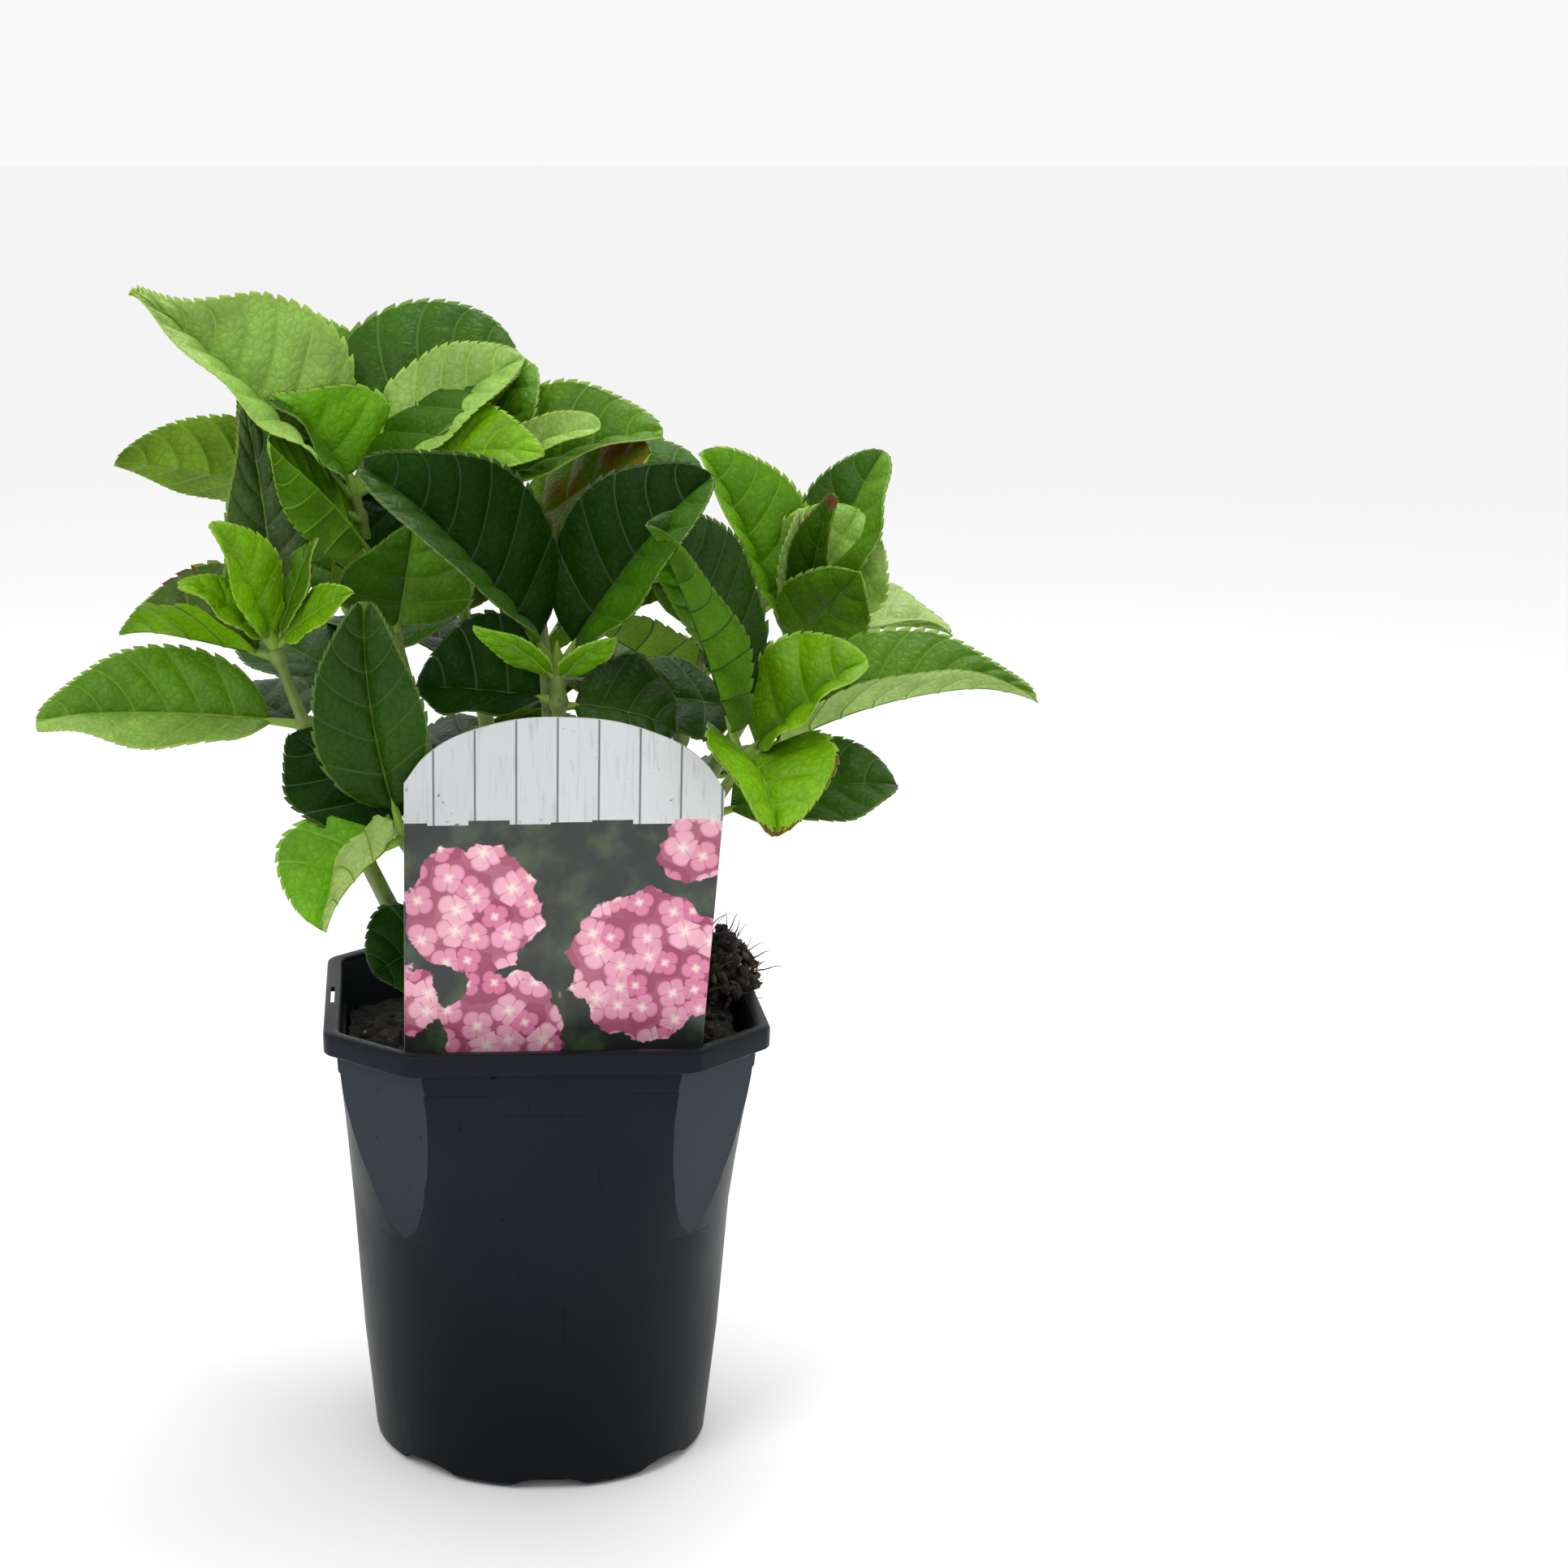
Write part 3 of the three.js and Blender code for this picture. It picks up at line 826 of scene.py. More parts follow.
def behind_card(points: np.ndarray) -> np.ndarray:
    """Bends back whatever would come through the label card.

    Args:
        points: Points in millimetres.

    Returns:
        The points, none of them in or just before the card.
    """
    level, height = points[..., 0], points[..., 2]
    lean = math.tan(math.radians(CARD_LEAN))
    limit = CARD_BACK_Y - (height - CARD_FOOT_Z) * lean + CARD_CLEAR
    inside = smoothstep((CARD_HALF - np.abs(level)) / CARD_SIDE_FADE)
    inside = inside * smoothstep((CARD_TOP_Z + CARD_FADE - height) / CARD_FADE)
    inside = inside * (height > CARD_FOOT_Z)
    push = np.clip(limit - points[..., 1], 0, None)
    near = push < CARD_REACH
    bent = points.copy()
    bent[..., 1] += np.where(near, push * inside, 0.0)
    return bent


class LeafMaker:
    """Works out one leaf's mesh: toothed edge, quilted fields, sunken veins, ribs."""

    def __init__(self, leaf: Leaf, root: np.ndarray, seed: int) -> None:
        """Takes the leaf and where it grows.

        Args:
            leaf: Its sizes.
            root: The point on the shoot that it grows from, in millimetres.
            seed: Number that its small irregularities come from.
        """
        self.leaf = leaf
        self.root = root
        self.random = random.Random(seed)
        heading = math.radians(leaf.heading)
        self.heading = np.array([math.cos(heading), math.sin(heading), 0.0])
        self.level = np.array([-math.sin(heading), math.cos(heading), 0.0])
        self.bend = math.radians(leaf.droop)
        self.start = math.radians(leaf.rise) + self.bend / 2
        self.arc = leaf.length * (self.bend / 2) / math.sin(self.bend / 2)
        fields = round(leaf.length * (1 - STALK_SHARE) / FIELD_LENGTH)
        self.fields = int(np.clip(fields, *FIELD_COUNTS))

    def line(self, share: np.ndarray) -> tuple[np.ndarray, np.ndarray]:
        """Points and directions along the centre line.

        Args:
            share: Shares of the leaf's length, 0 at its root.

        Returns:
            The points and the unit directions there.
        """
        angle = self.start - self.bend * share
        level = self.arc * (math.sin(self.start) - np.sin(angle)) / self.bend
        height = self.arc * (np.cos(angle) - math.cos(self.start)) / self.bend
        points = self.root + level[..., None] * self.heading + height[..., None] * UP
        along = np.cos(angle)[..., None] * self.heading + np.sin(angle)[..., None] * UP
        return points, along

    def half_width(self, share: np.ndarray) -> np.ndarray:
        """Half width in millimetres at shares of the blade's length.

        Args:
            share: Shares of the blade's length, 0 at its foot.

        Returns:
            The half widths.
        """
        share = np.clip(share, 0.0, 1.0)
        belly = self.leaf.belly
        rise = ROOT_ROUNDNESS
        fall = rise * (1 - belly) / belly
        peak = belly**rise * (1 - belly) ** fall
        shape = share**rise * (1 - share) ** fall / peak
        shape *= 1 - self.leaf.taper * smoothstep((share - 0.62) / 0.3)
        least = ROOT_HALF + (TIP_HALF - ROOT_HALF) * share
        return np.maximum(self.leaf.width / 2 * shape, least)

    def rows(self) -> tuple[np.ndarray, np.ndarray, np.ndarray, np.ndarray]:
        """The blade's rows, which run out along its veins.

        Returns:
            Each row's start on the midrib, its place between two veins, its tooth's
            depth and lean, and whether the strip of faces after it is a vein.
        """
        fields = self.fields
        steps = TEETH_PER_FIELD * STEPS_PER_TOOTH
        table = [(0.0, 0.0, 0, False)]
        for number in range(fields):
            if number:
                table.append(((number - VEIN_HALF) / fields, 0.0, 0, True))
                table.append(((number + VEIN_HALF) / fields, 0.0, 0, False))
            for step in range(1, steps):
                start = (number + step / steps) / fields
                table.append((start, step / steps, step % STEPS_PER_TOOTH, False))
        table.append((1.0, 0.0, 0, False))
        starts, between, tooth, vein = (np.array(column) for column in zip(*table))
        return starts, between, tooth, vein[:-1]

    def blade(self) -> tuple[np.ndarray, np.ndarray, np.ndarray]:
        """The blade's closed mesh.

        Returns:
            Its vertices, its quads and the place of each face's finish in KINDS,
            counted on by the length of KINDS for the right half.
        """
        starts, between, tooth, vein = self.rows()
        lead = VEIN_LEAD * np.sin(math.pi * starts**0.85)
        middle_width = self.half_width(starts + lead * 0.3)
        rib = np.clip(RIB_HALF * (1.15 - starts) / middle_width, 0.0, 0.5)
        edge = np.clip(EDGE_STRIP / middle_width, 0.0, 0.3)
        spread = np.linspace(0, 1, COLUMNS)[None, :]
        inner = rib[:, None] + (1 - edge - rib)[:, None] * spread
        half = np.concatenate([np.zeros((len(starts), 1)), inner, np.ones((len(starts), 1))], 1)
        across = np.concatenate([-half[:, :0:-1], half], 1)
        reach = np.abs(across)
        share = starts[:, None] + lead[:, None] * reach**1.25
        pitch = 1 / (self.fields * TEETH_PER_FIELD)
        fade = smoothstep(starts / 0.14) * smoothstep((1.0 - starts) / 0.07)
        at_edge = np.where(reach > 0.999, 1.0, np.where(reach > 0.8, (reach - 0.8) * 1.2, 0.0))
        share = share + at_edge * (TOOTH_LEAN[tooth] * fade * pitch)[:, None]
        share = np.clip(share, 0.0, 1.0)
        width = self.half_width(share)
        depth = TOOTH_DEPTH + TOOTH_GROWTH * self.leaf.width
        lateral = reach * width + at_edge * (TOOTH_SHAPE[tooth] * fade * depth)[:, None]
        return self._solid(starts, between, vein, across, reach, share, width, lateral)

    def _solid(
        self,
        starts: np.ndarray,
        between: np.ndarray,
        vein: np.ndarray,
        across: np.ndarray,
        reach: np.ndarray,
        share: np.ndarray,
        width: np.ndarray,
        lateral: np.ndarray,
    ) -> tuple[np.ndarray, np.ndarray, np.ndarray]:
        """Places the blade's grid in space and closes it.

        Args:
            starts: Each row's start on the midrib.
            between: Each row's place between two veins.
            vein: Whether the strip after each row is a vein.
            across: Signed share of the half width at each grid point.
            reach: Its size.
            share: Share of the blade's length at each grid point.
            width: Half width there, in millimetres.
            lateral: Distance from the midrib, in millimetres.

        Returns:
            Vertices, quads and material numbers.
        """
        leaf = self.leaf
        points, along = self.line(STALK_SHARE + (1 - STALK_SHARE) * share)
        turn = np.radians(leaf.roll + leaf.twist * (share - 0.5))
        level = np.broadcast_to(self.level, along.shape)
        side = rotate(level, along, turn)
        up = np.cross(along, side)
        fold = math.radians(leaf.fold)
        open_up = smoothstep(reach / 0.1)[..., None]
        sign = np.sign(across)[..., None]
        out = sign * side * math.cos(fold) + up * math.sin(fold)
        tipped = up * math.cos(fold) - sign * side * math.sin(fold)
        normal = up * (1 - open_up) + tipped * open_up
        normal /= np.linalg.norm(normal, axis=-1, keepdims=True)
        height = self._relief(between, across, reach, share, width)
        top = behind_card(points + out * lateral[..., None] + normal * height[..., None])
        ridge = np.exp(-((lateral / 1.1) ** 2)) * (1.25 - starts[:, None])
        is_vein = np.zeros(len(starts))
        is_vein[:-1] += vein
        is_vein[1:] += vein
        ridge += VEIN_SHARE * np.clip(is_vein, 0, 1)[:, None] * smoothstep((1 - reach) / 0.2)
        thick = SKIN_THICK + RIB_THICK * ridge * smoothstep((1 - share) / 0.15)
        bottom = top - normal * thick[..., None]
        return self._weave(top, bottom, vein, share, reach)

    def _relief(
        self,
        between: np.ndarray,
        across: np.ndarray,
        reach: np.ndarray,
        share: np.ndarray,
        width: np.ndarray,
    ) -> np.ndarray:
        """How far each grid point stands above the plain folded blade.

        Args:
            between: Each row's place between two veins.
            across: Signed share of the half width.
            reach: Its size.
            share: Share of the blade's length.
            width: Half width, in millimetres.

        Returns:
            Heights in millimetres.
        """
        rng = self.random
        pillow = np.sin(math.pi * between)[:, None] ** 0.75
        bulge = BULGE + BULGE_GROWTH * self.leaf.width
        height = bulge * pillow * np.sin(math.pi * np.clip(reach, 0, 1) ** 0.75) ** 0.7
        height -= RIB_DIP * np.exp(-((reach * width / 1.3) ** 2)) * (1 - share)
        for sign in (-1, 1):
            waves = rng.uniform(1.4, 2.6)
            phase = rng.uniform(0, 2 * math.pi)
            swing = rng.uniform(0.35, 1.0) * (0.6 + self.leaf.width / 60)
            wave = swing * np.sin(2 * math.pi * waves * share + phase) * reach**2
            height += np.where(np.sign(across) == sign, wave * smoothstep(share / 0.2), 0.0)
        height -= EDGE_FALL * width * reach**2
        curl = rng.uniform(0.02, 0.06) * self.leaf.length
        height -= curl * np.clip((share - 0.72) / 0.28, 0, 1) ** 2
        return height

    def _weave(
        self,
        top: np.ndarray,
        bottom: np.ndarray,
        vein: np.ndarray,
        share: np.ndarray,
        reach: np.ndarray,
    ) -> tuple[np.ndarray, np.ndarray, np.ndarray]:
        """Joins the upper and under skins into one closed mesh.

        Args:
            top: Grid of the upper skin's points.
            bottom: Grid of the under skin's points.
            vein: Whether the strip after each row is a vein.
            share: Share of the blade's length at each grid point.
            reach: Share of the half width at each grid point.

        Returns:
            Vertices, quads and material numbers.
        """
        rows, columns = top.shape[:2]
        number = np.arange(rows * columns).reshape(rows, columns)
        corners = [number[:-1, :-1], number[1:, :-1], number[1:, 1:], number[:-1, 1:]]
        upper = np.stack([c.ravel() for c in corners], 1)
        under = upper[:, ::-1] + rows * columns
        border = np.concatenate(
            [number[0, :-1], number[:-1, -1], number[-1, :0:-1], number[:0:-1, 0]]
        )
        ahead = np.roll(border, -1)
        rim = np.stack([border, ahead, ahead + rows * columns, border + rows * columns], 1)
        middle = (columns - 1) // 2
        column = np.arange(columns - 1)
        grid = np.full((rows - 1, columns - 1), KINDS.index("upper"))
        grid[vein] = KINDS.index("vein")
        grid[:, (column == middle) | (column == middle - 1)] = KINDS.index("rib")
        skin = np.where(grid > 0, KINDS.index("vein"), UNDER_SKIN)
        grid[:, [0, -1]] = KINDS.index("edge")
        grid += np.where(column < middle, len(KINDS), 0)[None, :]
        grid[self._scorched(share, reach)] = KINDS.index("scorched")
        strip = np.full(len(rim), KINDS.index("edge"))
        slots = np.concatenate([grid.ravel(), skin.ravel(), strip])
        vertices = np.concatenate([top.reshape(-1, 3), bottom.reshape(-1, 3)])
        return vertices, np.concatenate([upper, under, rim]), slots

    def _scorched(self, share: np.ndarray, reach: np.ndarray) -> np.ndarray:
        """Which faces of the grid have turned brown.

        Args:
            share: Share of the blade's length at each grid point.
            reach: Share of the half width there.

        Returns:
            True for each brown face.
        """
        scorch = self.leaf.scorch
        along = (share[:-1, :-1] + share[1:, 1:]) / 2
        out = (reach[:-1, :-1] + reach[1:, 1:]) / 2
        phase = self.random.uniform(0, 6)
        ragged = 0.4 * np.sin(23 * along + phase) + 0.5 * np.sin(11 * out + 31 * along + phase)
        tip = along + ragged * scorch > 1 - scorch
        edge = out + ragged * scorch > 1 - scorch * 0.5
        edge &= np.sin(13 * along + phase) > 0.2
        return (tip | edge) if scorch > 0 else np.zeros_like(tip)

    def stalk(self) -> tuple[np.ndarray, np.ndarray]:
        """The leaf's stalk, from inside the shoot to under the blade's foot.

        Returns:
            Its vertices and quads.
        """
        share = np.linspace(0.0, STALK_SHARE * 1.5, 9)
        points, along = self.line(share)
        drop = smoothstep((share - STALK_SHARE) / (STALK_SHARE * 0.5))
        side = np.broadcast_to(self.level, along.shape)
        turned = rotate(side, along, np.full(len(share), math.radians(self.leaf.roll)))
        up = np.cross(along, turned)
        points = points - up * (0.75 + 0.5 * drop)[:, None]
        size = 0.75 + self.leaf.width / 90
        radii = size * (1.35 - 0.6 * share / share[-1] - 0.5 * drop)
        radii[0] *= 1.25
        return tube(points, radii, 10)


# Shoots

CANE_FOOT_Z = 126.0
CANE_SHARE = 0.6
CANE_JOINTS = (0.18, 0.36, 0.52)
JOINT_SWELL = 0.75
JOINT_LENGTH = 2.6
BUD_REACH = (-1.5, 9.5)
BUD_RADII = (1.2, 1.7, 2.1, 2.2, 2.0, 1.6, 1.1, 0.6, 0.15)
CANE_SEED = 300
LEAF_SEEDS = (1000, 17, 5)

# The seeded rule of the far shoots: from the lowest pair to the highest

PAIR_NODES = (0.62, 0.74, 0.86, 0.97)
PAIR_LENGTH = (84.0, 52.0)
PAIR_RISE = (2.0, 52.0)
PAIR_WIDTH_SHARE = 0.68
PAIR_DROOP = 34.0
PAIR_FOLD = 16.0
PAIR_FRONT_LIMIT = 16.0
PAIR_TINTS = (Tint.FOREST, Tint.DEEP, Tint.MID, Tint.OLIVE, Tint.FOREST, Tint.DEEP)
SEED_FACTOR, SEED_STEP, SEED_RANGE = 1664525, 1013904223, 2**32


@dataclass(frozen=True)
class Shoot:
    """A cane with its leaves, from its foot in the soil to its crown."""

    name: str
    foot: tuple[float, float]
    bend: tuple[float, float, float]
    crown: tuple[float, float, float]
    leaves: tuple[Leaf, ...] = ()
    seed: int = 0
    turn: float = 0.0

    def point(self, share: np.ndarray | float) -> np.ndarray:
        """Points on the shoot's centre line at shares of its length.

        Args:
            share: One share or many.

        Returns:
            One point, or one per row, in millimetres.
        """
        share = np.asarray(share, float)[..., None]
        foot = np.array([*self.foot, CANE_FOOT_Z])
        bend, crown = np.array(self.bend), np.array(self.crown)
        return (1 - share) ** 2 * foot + 2 * share * (1 - share) * bend + share**2 * crown

    def all_leaves(self) -> tuple[Leaf, ...]:
        """The shoot's own leaves, or crossed pairs by the seeded rule."""
        return self.leaves or tuple(paired_leaves(self))


def paired_leaves(shoot: Shoot) -> list[Leaf]:
    """Leaves in crossed pairs up a far shoot, each a little varied by its seed.

    Args:
        shoot: The shoot they grow on.

    Returns:
        Its leaves.
    """
    state = shoot.seed

    def vary(spread: float) -> float:
        """The next seeded number, from minus spread to spread."""
        nonlocal state
        state = (SEED_FACTOR * state + SEED_STEP) % SEED_RANGE
        return spread * (2 * state / SEED_RANGE - 1)

    (low_length, high_length), (low_rise, high_rise) = PAIR_LENGTH, PAIR_RISE
    leaves = []
    for node, at in enumerate(PAIR_NODES):
        height = node / (len(PAIR_NODES) - 1)
        for opposite in (0, 180):
            length = low_length + (high_length - low_length) * height + vary(6)
            heading = shoot.turn + 90 * node + opposite + vary(12)
            rise = low_rise + (high_rise - low_rise) * height + vary(8)
            leaf = Leaf(
                at=at,
                heading=heading,
                rise=rise,
                length=length,
                width=length * PAIR_WIDTH_SHARE + vary(3),
                tint=PAIR_TINTS[(node * 2 + opposite // 180 + shoot.seed) % len(PAIR_TINTS)],
                droop=PAIR_DROOP + vary(8),
                fold=PAIR_FOLD + vary(6),
                roll=vary(14),
            )
            level = length * math.cos(math.radians(rise))
            tip = shoot.point(at)[1] + level * math.sin(math.radians(heading))
            if tip > PAIR_FRONT_LIMIT:
                leaves.append(leaf)
    return leaves


SILVER, PALE, LIME, BRIGHT = Tint.SILVER, Tint.PALE, Tint.LIME, Tint.BRIGHT
MID, FOREST, DEEP, SHADE = Tint.MID, Tint.FOREST, Tint.DEEP, Tint.SHADE
OLIVE, DUSKY, RUSTY = Tint.OLIVE, Tint.DUSKY, Tint.RUSTY

SHOOTS = (
    Shoot(
        "upper_left", (-12, 2), (-34, -4, 226), (-59, -4, 318),
        (
            Leaf(1, -163, 43, 94, 62, SILVER, fold=41, roll=-54, belly=0.35, twist=-15, taper=0.55),
            Leaf(1, 127, 57, 70, 52, MID, fold=12, roll=-20, belly=0.36),
            Leaf(1, 15, 37, 69, 58, FOREST, droop=85, fold=19, roll=35, belly=0.5),
            Leaf(1, -155, 49, 42, 48, FOREST, droop=28, fold=42, roll=-60, belly=0.3, half=BRIGHT),
            Leaf(0.96, -173, 15, 79, 45, BRIGHT, droop=15, fold=20, roll=44),
            Leaf(0.88, -130, 39, 67, 34, LIME, droop=20, fold=12, roll=112, under=MID),
            Leaf(0.75, -74, 61, 44, 42, FOREST, droop=-10, fold=12, roll=170, half=MID),
            Leaf(1, -12, 39, 69, 37, SILVER, droop=17, fold=26, roll=48, belly=0.48),
            Leaf(1, -34, 14, 71, 38, LIME, droop=30, fold=20, roll=42, belly=0.4),
        ),
    ),
    Shoot(
        "left", (-18, -8), (-62, -22, 206), (-84, -32, 274),
        (
            Leaf(0.97, 158, 83, 81, 27, DUSKY, fold=18, roll=-50, belly=0.36, taper=0.3),
            Leaf(
                0.98, 159, 7, 53, 50, OLIVE, fold=51, roll=-15, belly=0.4, under=LIME, scorch=0.09
            ),
            Leaf(1, -122, 55, 50, 26, LIME, fold=25, roll=-88),
            Leaf(1, -19, 69, 37, 15, MID, droop=5, fold=10, roll=51),
            Leaf(1, -148, 37, 39, 16, LIME, droop=25, fold=12, roll=-51),
            Leaf(1, -41, 32, 38, 16, LIME, droop=20, fold=12, roll=57),
            Leaf(1, -123, 61, 32, 16, LIME, droop=5, fold=20, roll=-98),
            Leaf(1, 148, 56, 31, 18, MID, droop=5, fold=10, roll=-96),
            Leaf(0.82, 179, 2, 84, 42, SILVER, droop=12, fold=28, roll=-42, half=MID),
            Leaf(0.8, 124, 5, 62, 36, DEEP, droop=20, fold=10, roll=-6),
        ),
    ),
    Shoot(
        "low_left", (-16, -18), (-30, -44, 176), (-45, -55, 219),
        (
            Leaf(1, -174, 81, 73, 38, DEEP, droop=-20, fold=31, roll=-103),
            Leaf(0.97, 149, 37, 52, 44, SHADE, droop=20, fold=6, roll=-26),
            Leaf(1, -135, -33, 42, 48, BRIGHT, droop=45, fold=52, roll=9, belly=0.5, under=PALE),
            Leaf(0.56, -173, -20, 24, 34, SHADE, droop=50, fold=20, roll=-73),
        ),
    ),
    Shoot(
        "top", (-4, 8), (-12, 4, 240), (-34, 0, 316),
        (
            Leaf(1, 20, 52, 54, 44, MID, droop=8, fold=35, roll=50),
            Leaf(0.98, -16, 21, 77, 54, MID, fold=29, roll=30, under=PALE),
            Leaf(1, -36, 24, 66, 20, SILVER, droop=12, fold=20, roll=40, belly=0.6, taper=0.25),
            Leaf(0.93, 167, 19, 32, 36, SHADE, droop=20, fold=10, roll=-50),
        ),
    ),
    Shoot(
        "top_right", (6, 10), (8, 4, 240), (-5, -8, 306),
        (
            Leaf(1, -27, 33, 50, 52, RUSTY, droop=15, fold=6, roll=38),
            Leaf(0.98, 7, 19, 61, 50, FOREST, droop=25, fold=12, roll=32, belly=0.55),
        ),
    ),
    Shoot(
        "centre", (4, -10), (6, -34, 190), (3, -44, 268),
        (
            Leaf(1, -160, 47, 90, 56, DEEP, droop=18, fold=37, roll=-54, twist=-25, half=SHADE),
            Leaf(1, -17, 53, 77, 50, SHADE, droop=16, fold=28, roll=52, belly=0.48, half=FOREST),
            Leaf(0.97, -143, 32, 39, 13, BRIGHT, droop=30, fold=12, roll=-154),
            Leaf(0.97, -54, 33, 32, 13, BRIGHT, droop=30, fold=12, roll=163),
            Leaf(0.94, 165, 3, 46, 50, SHADE, fold=32, roll=-36),
            Leaf(0.93, -6, -12, 38, 44, DEEP, droop=30, fold=12, roll=32),
        ),
    ),
    Shoot(
        "right", (18, -6), (34, -30, 196), (60, -50, 240),
        (
            Leaf(1, -153, 66, 83, 56, DEEP, droop=12, fold=40, roll=-41, belly=0.55, under=MID),
            Leaf(1, -24, 43, 51, 42, LIME, droop=12, fold=33, roll=42, belly=0.5),
            Leaf(1, -5, 15, 93, 47, MID, droop=38, fold=42, roll=12, taper=0.5, under=PALE),
            Leaf(1, -82, -18, 44, 46, LIME, droop=70, fold=38, roll=-4, belly=0.46, scorch=0.03),
            Leaf(0.8, 2, 9, 61, 44, FOREST, droop=20, fold=15, roll=26, belly=0.5, scorch=0.03),
        ),
    ),
    Shoot(
        "upper_right", (22, 8), (42, 2, 216), (83, -6, 270),
        (
            Leaf(0.98, -167, 64, 71, 41, BRIGHT, droop=6, fold=40, roll=-60, belly=0.5),
            Leaf(1, 0, 68, 66, 36, FOREST, droop=12, fold=14, roll=38, belly=0.48, half=MID),
            Leaf(1, -85, 56, 60, 19, FOREST, droop=6, fold=20, roll=120, belly=0.4, scorch=0.06),
            Leaf(1, -103, 79, 44, 14, PALE, droop=4, fold=45, roll=150, belly=0.4, under=PALE),
            Leaf(1, -26, 67, 47, 42, SILVER, droop=14, fold=15, roll=95, belly=0.5),
            Leaf(0.95, -68, 37, 53, 30, MID, droop=6, fold=10, roll=130, belly=0.48),
            Leaf(0.98, 7, 5, 53, 42, PALE, droop=35, fold=26, roll=11),
            Leaf(0.85, -139, 46, 74, 20, BRIGHT, droop=12, fold=50, roll=-135, belly=0.5),
            Leaf(0.8, -158, 9, 49, 36, DEEP, droop=20, fold=6, roll=-35),
        ),
    ),
    Shoot("far_left", (-12, 16), (-44, 38, 206), (-62, 50, 272), seed=11, turn=40),
    Shoot("far_middle", (0, 22), (-4, 58, 214), (-6, 72, 286), seed=23, turn=80),
    Shoot("far_right", (14, 20), (46, 40, 200), (58, 50, 262), seed=37, turn=20),
)


